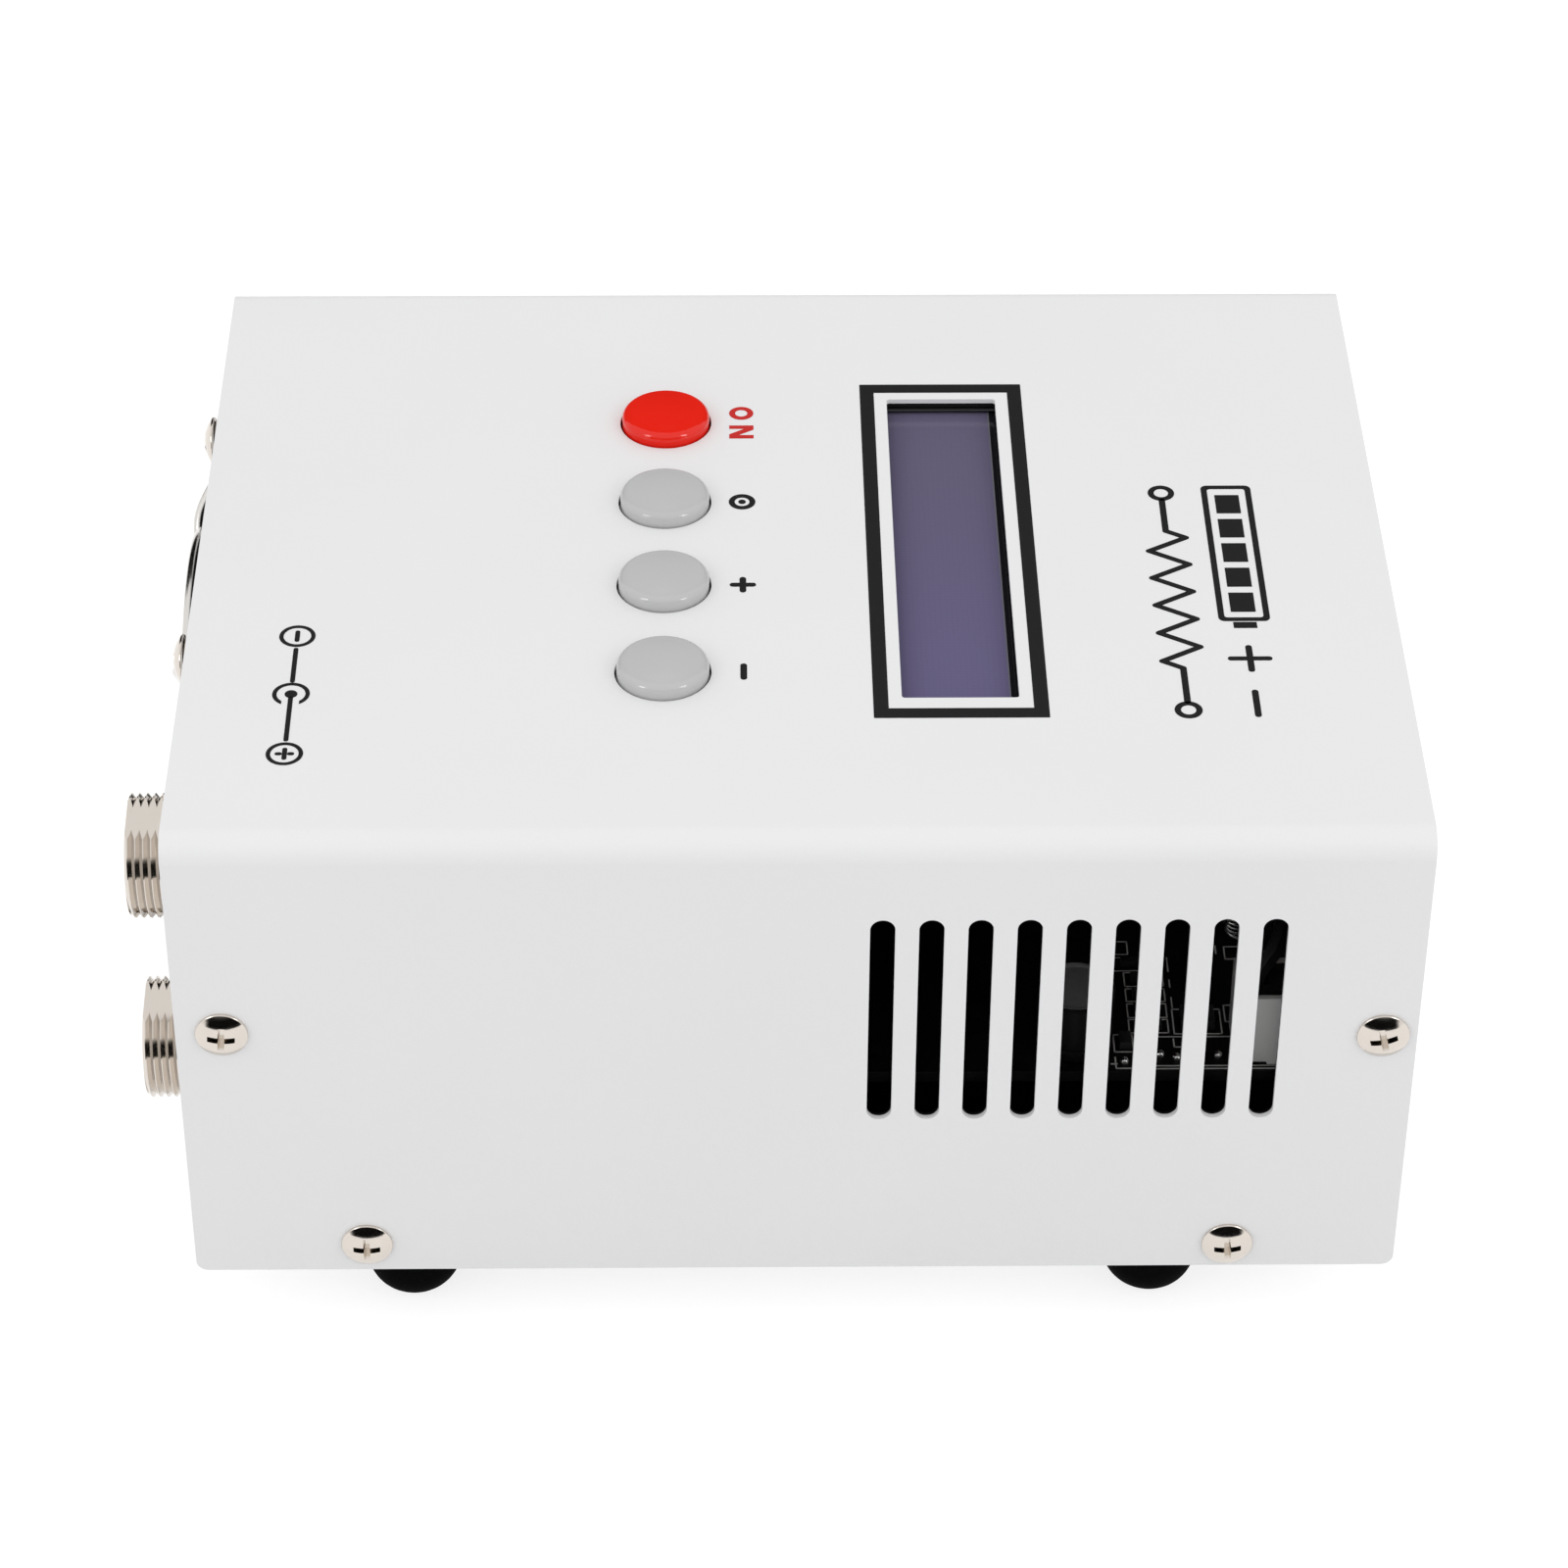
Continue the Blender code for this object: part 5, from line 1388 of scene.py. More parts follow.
    def polarity_sign(self, centre: Point2) -> Shape:
        """The plain sign of a socket's polarity: a dot in an open ring, minus and plus."""
        across, along = centre
        end, reach = 12.2, 0.9
        gap_low, gap_high = self.surface - 1, self.surface + 1
        sign = self.ring(centre, 2.35, 1.8).cut(
            Shape.block((across, along - 1.1, gap_low), (across + 4, along + 1.1, gap_high))
        )
        sign.gathered(
            self.dot(centre, 0.8, 32),
            self.line((across + 0.9, along), (across + 9.4, along), self.fine),
            self.line((across - 2.7, along), (across - 9.4, along), self.fine),
        )
        for middle in (across - end, across + end):
            sign.gathered(
                self.ring((middle, along), 2.3, 1.75),
                self.line((middle - reach, along), (middle + reach, along), self.fine),
            )
        for side in (1, -1):
            near, far = along + side * self.fine, along + side * reach
            sign.gathered(self.line((across + end, near), (across + end, far), self.fine))
        return sign

    def build(self) -> None:
        """Border, switch word, key signs and the sign of what the tester does."""
        black, red = Ink("black_ink"), Ink("red_ink", (0.56, 0.022, 0.018))
        power, choose, more, less = ((across, self.row) for across in key_places())
        display = self.band((75.0, 21.9), (71.0, 18.1), (0.3, 24.05), 0.16)
        self.place("display_border", display, black, "black_board", smooth=20)
        self.place("switch_word", self.switch_word(power), red, "red_key")
        plus = self.bar(more).united(self.bar(more, along_x=False))
        signs = {
            "sign_choose": self.ring(choose, 1.75, 0.98).gathered(self.dot(choose, 0.5, 24)),
            "sign_more": plus,
            "sign_less": self.bar(less),
            "sign_battery": self.battery_sign((12.65, 60.9)),
            "sign_load": self.load_sign((12.65, 52.3)),
            "sign_polarity": self.polarity_sign((32.4, -59.5)),
        }
        for name, shape in signs.items():
            self.place(name, shape, black, "black_board")


@dataclass
class Sockets(Assembly):
    """Two round threaded sockets with their ring nuts.

    Attributes:
        radius: Radius over the thread.
        pitch: The thread's pitch.
        thread_depth: Its depth.
        crest: Where its crest begins and ends, as shares of the pitch.
        tip: Y of the outer end.
        seat: Y of the panel's outer face.
        panel: How far behind it the flange sits.
        flat_height: Distance of the flat from the axis.
        tilts: Turn of each socket's flat, in degrees.
        flange: Radius of the flange behind the panel.
        tail: Radius of the shell behind it.
        mouth: Radius of the opening.
        mouth_depth: Its depth.
        bore: Radius of the bore behind it.
        nut_thick: Thickness of the ring nut.
        nut_flats: Its width over flats.
        steps: Facets of a full turn.
    """

    radius: float = 7.9
    pitch: float = 1.0
    thread_depth: float = 0.55
    crest: Point2 = (0.44, 0.56)
    tip: float = -80.45
    seat: float = -72.85
    panel: float = 1.5
    flat_height: float = 7.12
    tilts: tuple[float, float] = (11.0, 10.0)
    flange: float = 9.5
    tail: float = 7.4
    mouth: float = 6.7
    mouth_depth: float = 9.9
    bore: float = 6.0
    nut_thick: float = 1.8
    nut_flats: float = 19.0
    steps: int = 96

    def threaded_barrel(self, length: float) -> Shape:
        """A helical V-threaded rod along +Z from 0 to the length."""
        root = self.radius - self.thread_depth
        turns = int(length / self.pitch) + 3
        shape = Shape()
        spots = []
        for turn in range(turns + 1):
            base = (turn - 2) * self.pitch
            spots.append((root, base))
            spots += [(self.radius, base + share * self.pitch) for share in self.crest]
        verts = [shape.bm.verts.new((radius, 0, height)) for radius, height in spots]
        edges = [shape.bm.edges.new(pair) for pair in zip(verts, verts[1:])]
        bmesh.ops.spin(
            shape.bm,
            geom=verts + edges,
            cent=(0, 0, 0),
            axis=(0, 0, 1),
            dvec=(0, 0, self.pitch / self.steps),
            angle=2 * math.pi,
            steps=self.steps,
            use_merge=False,
        )
        bmesh.ops.remove_doubles(shape.bm, verts=shape.bm.verts[:], dist=1e-3)
        for height, normal in ((0.0, (0, 0, -1)), (length, (0, 0, 1))):
            everything = shape.bm.verts[:] + shape.bm.edges[:] + shape.bm.faces[:]
            bmesh.ops.bisect_plane(
                shape.bm,
                geom=everything,
                plane_co=(0, 0, height),
                plane_no=normal,
                clear_outer=True,
            )
            rim = [
                edge
                for edge in shape.bm.edges
                if edge.is_boundary and all(abs(vert.co.z - height) < 1e-3 for vert in edge.verts)
            ]
            bmesh.ops.holes_fill(shape.bm, edges=rim)
        bmesh.ops.recalc_face_normals(shape.bm, faces=shape.bm.faces[:])
        return shape

    def shell(self, tilt: float) -> Shape:
        """The socket's shell along +Z, its tip at 0, with its flat tilted about the axis."""
        length = self.seat - self.tip + self.panel
        barrel = self.threaded_barrel(length)
        beyond = self.radius + 0.7
        chamfer = [(0, -1), (self.radius - 0.9, -1), (beyond, 0.6), (beyond, length + 1)]
        chamfer += [(0, length + 1)]
        barrel.joined(Shape.lathe(chamfer, self.steps), Joining.COMMON)
        tool = Shape.block((-12, -12, -1), (12, -self.flat_height, length - 1.4))
        barrel.cut(tool.turned(tilt, Axis.Z))
        front, back, end = length - 0.02, length + 1.98, length + 12.5
        flange = [(0, front), (self.flange, front), (self.flange, back), (self.tail, back)]
        flange += [(self.tail, end), (0, end)]
        barrel.united(Shape.lathe(flange, self.steps))
        wide, deep = self.mouth + 0.25, self.mouth_depth
        bore = [(0, -1), (wide, -1), (wide, 0.0), (self.mouth, 0.3), (self.mouth, deep)]
        bore += [(self.bore, deep), (self.bore, length + 14), (0, length + 14)]
        return barrel.cut(Shape.lathe(bore, self.steps))

    def nut(self) -> Shape:
        """A hexagonal ring nut along +Z, its outer face at 0."""
        thick, flats = self.nut_thick, self.nut_flats
        nut = Shape.disc(flats / math.sqrt(3), 0, thick, 6)
        cone = [(0, -1), (flats / 2 - 1.1, -1), (flats / 2 + 3.0, thick + 0.4), (0, thick + 0.4)]
        nut.joined(Shape.lathe(cone, self.steps), Joining.COMMON)
        bore = [(0, -1), (self.radius + 0.55, -1), (self.radius + 0.1, 0.35)]
        bore += [(self.radius + 0.1, thick + 1), (0, thick + 1)]
        return nut.cut(Shape.lathe(bore, self.steps)).rounded(0.08, 1, 35)

    def build(self) -> None:
        """Shells and nuts of both sockets."""
        plate = Plating("nickel_shell", polish=0.08, haze=0.05)
        nut = self.nut()
        for name, tilt in zip(("battery", "supply"), self.tilts):
            shell_node, nut_node = f"{name}_socket_shell", f"{name}_socket_nut"
            spot = middle_of(shell_node)
            shell = self.shell(tilt).turned(-90, Axis.X).moved(spot.x, self.tip, spot.z)
            self.place(f"{name}_shell", shell, plate, "nickel", [shell_node], smooth=15)
            low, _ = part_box(nut_node)
            ring = nut.copied().turned(-90, Axis.X).moved(spot.x, low.y / MM, spot.z)
            self.place(f"{name}_ring_nut", ring, plate, "nickel", [nut_node])


@dataclass
class FanGuard(Assembly):
    """The welded wire finger guard.

    Attributes:
        centre: X and height of its middle.
        wire: Radius of its wire.
        rings: Radii of its rings.
        ring_y: Y of the rings, followed by those of the legs and of the eyelets.
        hole_radius: Distance of the screws from its middle.
        eyelet: Radius of the legs' eyelets.
        eyelet_turn: How far round an eyelet goes, in degrees, and in how many steps.
        leg_past: How far a leg's level part reaches past the outer ring.
        leg_within: How far it reaches inside the inner one.
        fall_steps: Steps of a leg's slope.
    """

    centre: Point2 = (-9.0, 46.7)
    wire: float = 0.7
    rings: tuple[float, ...] = (22.5, 14.96, 7.41)
    ring_y: float = -75.75
    leg_y: float = -76.75
    seat_y: float = -73.85
    hole_radius: float = 35.36
    eyelet: float = 2.5
    eyelet_turn: float = 300.0
    eyelet_steps: int = 28
    leg_past: float = 1.4
    leg_within: float = 1.2
    fall_steps: int = 12

    def wire_along(self, name: str, spots: Sequence[Vector], closed: bool) -> bpy.types.Object:
        """A round wire on a smooth line, as an object of mesh.

        Args:
            name: The object's name.
            spots: Points of the line, in millimetres.
            closed: Whether it closes on itself.

        Returns:
            The object.
        """
        curve = bpy.data.curves.new(name, "CURVE")
        curve.dimensions = "3D"
        curve.bevel_depth = self.wire * MM
        curve.bevel_resolution = 5
        curve.use_fill_caps = True
        line = curve.splines.new("POLY")
        line.points.add(len(spots) - 1)
        for point, spot in zip(line.points, spots):
            point.co = (*(spot * MM), 1.0)
        line.use_cyclic_u = closed
        line.use_smooth = True
        drawn = linked(name, curve)
        graph = bpy.context.evaluated_depsgraph_get()
        mesh = bpy.data.meshes.new_from_object(drawn.evaluated_get(graph))
        bpy.data.objects.remove(drawn)
        bpy.data.curves.remove(curve)
        mesh.name = name
        return linked(name, mesh)

    def leg_line(self, number: int) -> list[Vector]:
        """Line of one leg: over the rings, down to the panel and round its screw."""
        outer = self.rings[0] + self.leg_past
        touch = self.hole_radius - self.eyelet
        line = [(self.rings[-1] - self.leg_within, 0.0, self.leg_y), (outer, 0.0, self.leg_y)]
        for step in range(1, self.fall_steps):
            share = step / self.fall_steps
            fall = (1 - math.cos(math.pi * share)) / 2
            along = self.leg_y + (self.seat_y - self.leg_y) * fall
            line.append((outer + (touch - outer) * share, 0.0, along))
        centre = (self.hole_radius, 0.0)
        for out, aside in arc(centre, self.eyelet, 180, 180 + self.eyelet_turn, self.eyelet_steps):
            line.append((out, aside, self.seat_y))
        outward = math.radians(45 + 90 * number)
        spots = []
        for out, aside, along in line:
            across = out * math.cos(outward) - aside * math.sin(outward)
            up = out * math.sin(outward) + aside * math.cos(outward)
            spots.append(Vector((self.centre[0] + across, along, self.centre[1] + up)))
        return spots

    def build(self) -> None:
        """Three rings under four legs, gathered into one piece."""
        wires = []
        for number, radius in enumerate(self.rings):
            spots = [
                Vector((self.centre[0] + x, self.ring_y, self.centre[1] + z))
                for x, z in arc((0, 0), radius, 0, 360, 96)[:-1]
            ]
            wires.append(self.wire_along(f"ring_{number}", spots, True))
        for number in range(4):
            wires.append(self.wire_along(f"leg_{number}", self.leg_line(number), False))
        gathered = Shape()
        for wire in wires:
            gathered.bm.from_mesh(wire.data)
            mesh = wire.data
            bpy.data.objects.remove(wire)
            bpy.data.meshes.remove(mesh)
        gathered.cleaned()
        bmesh.ops.scale(gathered.bm, vec=(1 / MM,) * 3, verts=gathered.bm.verts[:])
        self.place("finger_guard", gathered, GUARD_PLATE, "chrome_wire", ["fan_guard"], smooth=50)


@dataclass
class Eased(Assembly):
    """Pieces that keep their solid's form, with edges eased and round faces shaded smooth.

    Attributes:
        groups: Nodes with the width of the rounding of their edges and its facets.
        finishes: The finish of each material slot.
        slots: The material slot of each node.
        bezel_end: X where the opening of the display's frame ends in the solid.
        bezel_end_seen: X where the photograph has it.
    """

    groups: tuple[tuple[tuple[str, ...], float, int], ...] = (
        (("chassis",), 0.14, 2),
        (("fan_frame",), 0.30, 2),
        (("battery_socket_insert", "supply_socket_insert"), 0.10, 2),
        (("display_frame",), 0.18, 2),
        (("display_backlight",), 0.10, 1),
        (("control_board",), 0.08, 1),
        (("heat_sink",), 0.12, 1),
        (("power_transistor_1", "power_transistor_2"), 0.15, 2),
        (("switch_on", "switch_set", "switch_up", "switch_down"), 0.12, 1),
        (("battery_lead_black", "battery_lead_red"), 0.0, 0),
        (("fan_rotor",), 0.12, 2),
    )
    finishes: Mapping[str, Finish] = field(default_factory=dict)
    slots: Mapping[str, str] = field(default_factory=dict)
    bezel_end: float = 32.4
    bezel_end_seen: float = 33.3

    def widen(self, shape: Shape) -> None:
        """Moves the ends of the bezel's opening outwards, to where the photograph has them.

        Args:
            shape: The copy of the display's frame.
        """
        for vert in shape.bm.verts:
            if abs(abs(vert.co.x) - self.bezel_end) < 0.05:
                vert.co.x = math.copysign(self.bezel_end_seen, vert.co.x)

    def ease(self, node: str, width: float, facets: int) -> None:
        """Makes one piece of a node.

        Args:
            node: The node's name.
            width: Width of the rounding of its edges, or 0 for none.
            facets: Facets across it.
        """
        moving = node == "fan_rotor"
        shape = Shape.of_node(node)
        if node == "display_frame":
            self.widen(shape)
        if width:
            shape.rounded(width, facets, 50 if moving else 40)
        slot = self.slots[node]
        body = Body.FAN_WHEEL if moving else Body.CASE
        self.place(f"eased_{node}", shape, self.finishes[slot], slot, [node], body, 38)

    def build(self) -> None:
        """Eases each of the nodes."""
        for nodes, width, facets in self.groups:
            for node in nodes:
                self.ease(node, width, facets)


@dataclass
class MainBoard(Assembly):
    """What shows behind the slots: the board with its printing, solder and small parts.

    Attributes:
        level: Height of the board's upper face.
        line: Width of the printed lines.
        can: Middle of the capacitor, whose radius, foot and top follow.
        block_low: Lowest corner of the terminal's housing, whose highest corner and wall follow.
        outlines: Printed boxes, as left, low, right and high sides.
        lines: Printed lines, from one end to the other.
        drops: Middles of the solder drops.
        drop: Their radius.
        coil_place: X of the coil's first turn, its Y, and its height over the board.
        coil_radius: Radius of the turns, whose wire's radius, spacing and number follow.
        chips: Small parts, as four sides and a height over the board.
    """

    level: float = 36.4
    line: float = 0.2
    can: Point2 = (50.5, 38.85)
    can_radius: float = 4.95
    can_foot: float = 36.7
    can_top: float = 45.5
    block_low: Point3 = (47.5, 58.85, 36.7)
    block_high: Point3 = (55.7, 69.05, 47.6)
    block_wall: float = 0.9
    outlines: tuple[tuple[float, float, float, float], ...] = (
        (37.24, 46.1, 39.98, 51.1),
        (40.46, 46.1, 42.97, 51.1),
        (43.44, 46.1, 46.14, 51.1),
        (46.53, 46.1, 49.13, 51.1),
        (30.98, 44.2, 33.57, 46.9),
        (44.56, 51.8, 49.35, 57.9),
        (49.5, 43.95, 52.8, 46.37),
        (32.07, 59.5, 34.57, 62.4),
        (43.8, 58.5, 47.0, 61.4),
    )
    lines: tuple[tuple[float, float, float, float], ...] = (
        (34.23, 45.0, 34.23, 50.4),
        (36.85, 45.0, 36.85, 50.4),
        (34.3, 51.9, 37.0, 51.9),
        (38.7, 51.9, 40.2, 51.9),
        (42.2, 51.9, 44.2, 51.9),
        (49.9, 49.8, 49.9, 58.8),
        (53.85, 43.95, 55.95, 43.95),
        (55.95, 43.95, 55.95, 46.0),
        (55.09, 43.4, 55.09, 44.1),
        (50.35, 51.6, 51.9, 51.6),
        (51.9, 51.6, 51.9, 52.4),
        (55.5, 46.6, 55.5, 64.0),
        (56.05, 46.6, 56.05, 64.0),
        (31.9, 58.4, 33.5, 58.4),
    )
    drops: tuple[Point2, ...] = ((54.6, 45.1), (53.3, 49.7), (53.9, 51.8), (53.5, 57.06))
    drop: float = 0.62
    coil_place: Point3 = (27.4, 61.7, 2.4)
    coil_radius: float = 2.0
    coil_wire: float = 0.22
    coil_pitch: float = 0.87
    coil_turns: int = 5
    chips: tuple[tuple[float, float, float, float, float], ...] = (
        (37.7, 46.9, 39.5, 50.3, 0.6),
        (40.9, 46.9, 42.5, 50.3, 0.6),
        (43.9, 46.9, 45.7, 50.3, 0.6),
        (47.0, 46.9, 48.7, 50.3, 0.6),
        (49.9, 44.6, 52.35, 46.1, 1.1),
        (45.3, 52.7, 48.6, 57.0, 1.5),
        (35.0, 45.8, 36.1, 48.6, 0.9),
    )

    def printing(self) -> Shape:
        """The white lines round the parts."""
        strips = list(self.lines)
        for left, low, right, high in self.outlines:
            strips += [(left, low, right, low), (left, high, right, high)]
            strips += [(left, low, left, high), (right, low, right, high)]
        half = self.line / 2
        shape = Shape()
        for left, low, right, high in strips:
            shape.gathered(
                Shape.block(
                    (left - half, low - half, self.level + 0.01),
                    (right + half, high + half, self.level + 0.04),
                )
            )
        return shape

    def solder(self) -> Shape:
        """Drops of solder, and the bare turns of a small coil."""
        shape = Shape()
        dome = [(0.0, 0.0), (self.drop, 0.0)] + arc((0, 0), self.drop, 12, 78, 6)
        dome += [(0.1, 0.9), (0.0, 0.9)]
        for across, along in self.drops:
            shape.gathered(Shape.lathe(dome, 24).moved(across, along, self.level + 0.01))
        first, along, rise = self.coil_place
        section = arc((self.coil_radius, 0.0), self.coil_wire, 0, 360, 12)[:-1]
        for turn in range(self.coil_turns):
            loop = Shape.lathe(section, 40, ring=True).turned(90, Axis.Y)
            shape.gathered(loop.moved(first + self.coil_pitch * turn, along, self.level + rise))
        return shape

    def small_parts(self) -> Shape:
        """Flat chips, each with its ends."""
        shape = Shape()
        for left, low, right, high, thick in self.chips:
            chip = Shape.block((left, low, self.level + 0.02), (right, high, self.level + thick))
            shape.gathered(chip.rounded(0.08, 2, 40))
        return shape

    def can_shape(self) -> Shape:
        """The capacitor: beaded foot, straight wall, rolled rim and sunk top."""
        radius, foot, top = self.can_radius, self.can_foot, self.can_top
        profile = [(0, foot), (radius - 0.5, foot)]
        profile += arc((radius - 0.4, foot + 0.4), 0.4, -80, 0, 4)
        profile += [(radius, foot + 1.4), (radius - 0.28, foot + 1.8), (radius, foot + 2.2)]
        profile += arc((radius - 0.45, top - 0.45), 0.45, 0, 120, 6)
        profile += [(radius - 0.95, top - 0.25), (0, top - 0.25)]
        return Shape.lathe(profile, 64)

    def terminal(self) -> Shape:
        """The connector's housing: an open box with a notch at its foot."""
        low, high = Vector(self.block_low), Vector(self.block_high)
        wall = self.block_wall
        hollow = Shape.block(
            (low.x + wall, low.y + wall, low.z + 2), (high.x - wall, high.y - wall, high.z + 1)
        )
        middle = (low.y + high.y) / 2
        notch = Shape.block(
            (high.x - 0.5, low.y + wall, low.z - 1), (high.x + 1, middle - 1, low.z + 0.7)
        )
        return Shape.block(low, high).cut(hollow, notch).rounded(0.16, 2, 40)

    def plug(self) -> Shape:
        """The leads' dark plug, which fills the housing, with two wire mouths on top."""
        low, high = Vector(self.block_low), Vector(self.block_high)
        gap = self.block_wall + 0.12
        body = Shape.block(
            (low.x + gap, low.y + gap, low.z + 2.2), (high.x - gap, high.y - gap, high.z - 0.1)
        )
        for number in (1, 3):
            along = low.y + (high.y - low.y) * number / 4
            mouth = Shape.disc(1.5, high.z - 1.6, high.z + 1, 32)
            body.cut(mouth.moved((low.x + high.x) / 2, along))
        return body.rounded(0.2, 2, 40)

    def build(self) -> None:
        """The board, its printing, its parts, the capacitor and the terminal block."""
        board = Shape.of_node("main_board").rounded(0.1, 1, 40)
        self.place("main_board_mask", board, BOARD_MASK, "black_board", ["main_board"])
        white = Ink("board_white_ink", (0.62, 0.62, 0.60))
        self.place("board_printing", self.printing(), white, "white_nylon")
        tinned = Plating("tinned", (0.78, 0.78, 0.76), 0.2)
        self.place("solder_and_coil", self.solder(), tinned, "zinc_screw")
        epoxy = Moulding("chip_epoxy", (0.016, 0.016, 0.017), 0.34, 0.2, 0.006)
        self.place("small_parts", self.small_parts(), epoxy, "transistor")
        can = self.can_shape().moved(self.can[0], self.can[1])
        self.place("capacitor_can", can, CAN_SLEEVE, "capacitor", ["capacitor"])
        housing = self.terminal()
        self.place("terminal_body", housing, TERMINAL_NYLON, "white_nylon", ["terminal_block"])
        black = Moulding("plug_black", (0.004, 0.004, 0.004), 0.42, 0.3, 0.01)
        self.place("lead_plug", self.plug(), black, "black_lead")


@dataclass
class Carried(Assembly):
    """Every CAD piece that keeps its solid: eased where edges show, and dressed anew."""

    def finishes(self) -> dict[str, Finish]:
        """The finish of each material slot."""
        # Painted shade on the chassis's inner faces within this box.
        painted_inner_shade = ((-60.3, -72.0, 9.4), (60.3, 78.9, 90.0))
        return {
            "white_powder_coat": PowderCoat("chassis_coat", shade_boxes=(painted_inner_shade,)),
            "nickel": Plating("nickel_plate"),
            "black_rubber": FOOT_RUBBER,
            "black_moulding": Moulding("glass_filled_black"),
            "chrome_wire": GUARD_PLATE,
            "red_key": RED_PLASTIC,
            "grey_key": GREY_PLASTIC,
            "display_glass": DisplayGlass("display_film"),
            "display_frame": Moulding("bezel_paint", (0.012, 0.012, 0.013), 0.30, 0.6, 0.006),
            "backlight": Moulding("diffuser", (0.72, 0.73, 0.76), 0.5, 0.5, 0.01),
            "black_board": BOARD_MASK,
            "zinc_screw": Plating("zinc", (0.62, 0.63, 0.64), 0.22),
            "switch_body": Moulding("switch_black", (0.012, 0.012, 0.012), 0.34),
            "plunger": Moulding("plunger_black", (0.02, 0.02, 0.02), 0.40),
            "black_anodised": Anodised("sink_black"),
            "transistor": Moulding("epoxy_black", (0.014, 0.014, 0.015), 0.42, 0.2, 0.008),
            "capacitor": CAN_SLEEVE,
            "white_nylon": TERMINAL_NYLON,
            "black_lead": Moulding("black_insulation", (0.010, 0.010, 0.010), 0.34, 0.5, 0.006),
            "red_lead": Moulding("red_insulation", (0.42, 0.012, 0.010), 0.34, 0.5, 0.006),
        }

    def build(self) -> None:
        """Eases the pieces whose edges show, then dresses the CAD nodes that are left."""
        finishes = self.finishes()
        slots = {entry["node"]: entry["material_slot"] for entry in frame["record"]["subparts"]}
        Eased(finishes=finishes, slots=slots).build()
        for name, node in frame["nodes"].items():
            if node.hide_render:
                continue
            finish = finishes[slots[name]]
            node.data.materials.clear()
            node.data.materials.append(finish.material())
            LOG.info("%s: %s", name, finish.name)


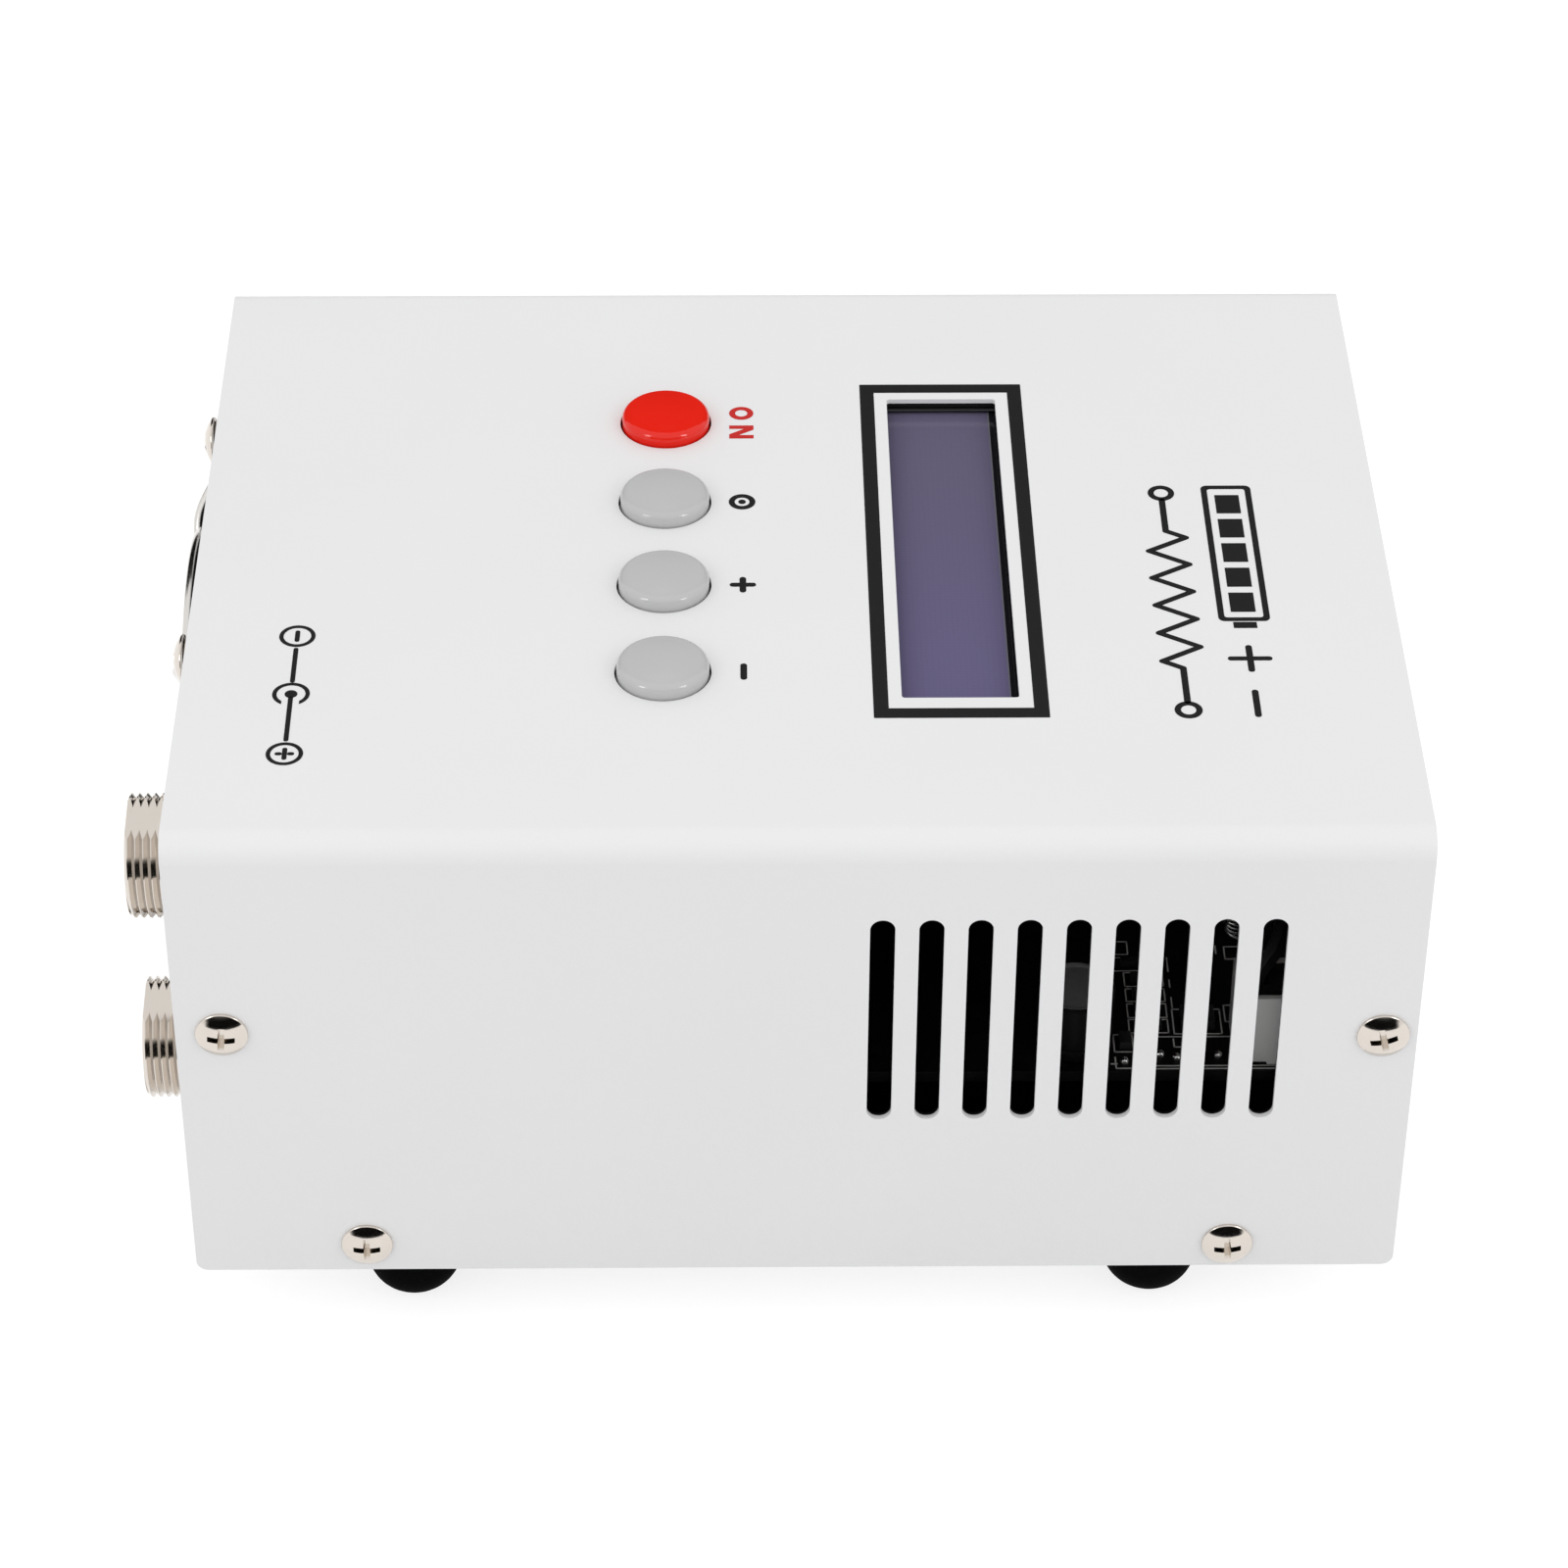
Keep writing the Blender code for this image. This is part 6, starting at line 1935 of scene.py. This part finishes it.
@dataclass
class Studio:
    """Pale floor, soft lamps, dark and glowing cards for the metal, and the camera.

    Attributes:
        eye: The camera's place, in metres.
        look: The camera's turn, in degrees.
        lens: Its focal length on a sensor 36 mm wide.
        aim: What the lamps point at, in metres.
        lamp_azimuth: Direction of the two lamps to either side of +X, in degrees.
        lamp_elevation: Their height over the floor, in degrees.
        lamp_reach: Their distance, in metres.
        lamp_size: Their side, in metres.
        lamp_watts: Power of each.
        floor_half: Half the floor's side, in millimetres.
        floor_thick: The floor's thickness.
    """

    eye: Point3 = (0.521287, -0.005755, 0.445764)
    look: Point3 = (52.00846, -0.27125, 89.29431)
    lens: float = 112.394
    aim: Point3 = (0.0, 0.0, 0.04)
    lamp_azimuth: float = 52.0
    lamp_elevation: float = 33.0
    lamp_reach: float = 1.1
    lamp_size: float = 0.3
    lamp_watts: float = 0.5
    floor_half: float = 3000.0
    floor_thick: float = 4.0

    def camera(self) -> None:
        """The camera at the photograph's place."""
        data = bpy.data.cameras.new("camera")
        data.lens = self.lens
        data.sensor_width = 36.0
        data.clip_start = 0.01
        data.clip_end = 20.0
        obj = linked("camera", data)
        obj.location = self.eye
        obj.rotation_euler = Euler([math.radians(angle) for angle in self.look])
        bpy.context.scene.camera = obj

    def lamp(self, name: str, azimuth: float) -> None:
        """A square lamp aimed at the middle of the object.

        Args:
            name: The lamp's name.
            azimuth: Its direction round the object from +X, in degrees.
        """
        data = bpy.data.lights.new(name, "AREA")
        data.shape = "SQUARE"
        data.size = self.lamp_size
        data.energy = self.lamp_watts
        turn, rise = math.radians(azimuth), math.radians(self.lamp_elevation)
        level = math.cos(rise)
        away = Vector((math.cos(turn) * level, math.sin(turn) * level, math.sin(rise)))
        obj = linked(name, data)
        obj.location = Vector(self.aim) + away * self.lamp_reach
        obj.rotation_euler = away.to_track_quat("Z", "Y").to_euler()

    def world(self) -> None:
        """Plain white all round."""
        world = bpy.data.worlds.new("studio")
        bpy.context.scene.world = world
        world.use_nodes = True
        background = world.node_tree.nodes["Background"]
        background.inputs["Color"].default_value = (1.0, 1.0, 1.0, 1.0)
        background.inputs["Strength"].default_value = 1.0

    def floor(self) -> None:
        """A wide pale floor that shows white to the camera and keeps the object's shadow."""
        half, thick = self.floor_half, self.floor_thick
        slab = Shape.block((-half, -half, -thick), (half, half, 0))
        obj = linked("floor", slab.metre_mesh("floor"))
        shade = Shade("pale_floor")
        seen: Number = 0.0
        for ray in ("Is Camera Ray", "Is Glossy Ray", "Is Transmission Ray"):
            seen = shade.math("MAXIMUM", seen, shade.node("ShaderNodeLightPath", output=ray))
        ground = shade.mix(shade.noise(3.0, 2.0), (0.75, 0.75, 0.755), (0.78, 0.78, 0.785))
        shade.set(
            base_color=shade.mix(seen, ground, (0.32, 0.32, 0.32)),
            roughness=1.0,
            specular_ior_level=0.0,
            emission_color=shade.mix(seen, (0.0, 0.0, 0.0), (0.80, 0.80, 0.80)),
            emission_strength=1.0,
        )
        obj.data.materials.append(shade.material)

    def card(self, name: str, low: Point3, high: Point3, soft: float, glow: float = 0.0) -> None:
        """A dark or glowing card between two corners, which only shiny pieces see.

        Args:
            name: The card's name.
            low: Its lowest corner, in millimetres.
            high: Its highest corner.
            soft: Width over which its edges fade, in millimetres.
            glow: Strength of its own light.
        """
        obj = linked(name, Shape.block(low, high).metre_mesh(name))
        shade = Shade(f"{name}_black")
        _, along, height = shade.axes()
        cover: Number = 1.0
        for axis, first, last in ((along, low[1], high[1]), (height, low[2], high[2])):
            rise = axis.eased(first * MM, (first + soft) * MM)
            fall = axis.eased((last - soft) * MM, last * MM)
            cover = rise * (1 - fall) * cover
        shade.set(
            base_color=shade.mix(shade.noise(20.0), (0.003, 0.003, 0.003), (0.006, 0.006, 0.006)),
            roughness=0.9,
            specular_ior_level=0.0,
            emission_color=(1.0, 1.0, 1.0),
            emission_strength=glow,
            alpha=cover,
        )
        obj.data.materials.append(shade.material)
        obj.visible_camera = False
        obj.visible_diffuse = False
        obj.visible_transmission = False
        obj.visible_shadow = False

    def build(self) -> None:
        """Sets up the whole studio."""
        bpy.context.scene.view_settings.view_transform = "Standard"
        self.camera()
        self.world()
        self.lamp("lamp_left", -self.lamp_azimuth)
        self.lamp("lamp_right", self.lamp_azimuth)
        self.floor()
        self.card("near_card", (560, -600, -150), (561, 600, 440), 220)
        self.card("far_card", (-1001, -1500, 0), (-1000, 1500, 1680), 120)
        self.card("left_glow", (460, -740, 330), (461, -440, 760), 60, 9.0)
        self.card("right_glow", (460, 440, 330), (461, 740, 760), 60, 9.0)


def main() -> None:
    """Builds the studio, the pieces and the finishes, and reports each one."""
    logging.basicConfig(level=logging.INFO, format="%(message)s")
    Studio().build()
    assemblies = (
        Cover(), Screws(), Feet(), Keys(), Prints(), Sockets(), FanGuard(), MainBoard(), Carried()
    )
    for assembly in assemblies:
        LOG.info("building %s", type(assembly).__name__)
        assembly.build()


if __name__ == "__main__":
    main()
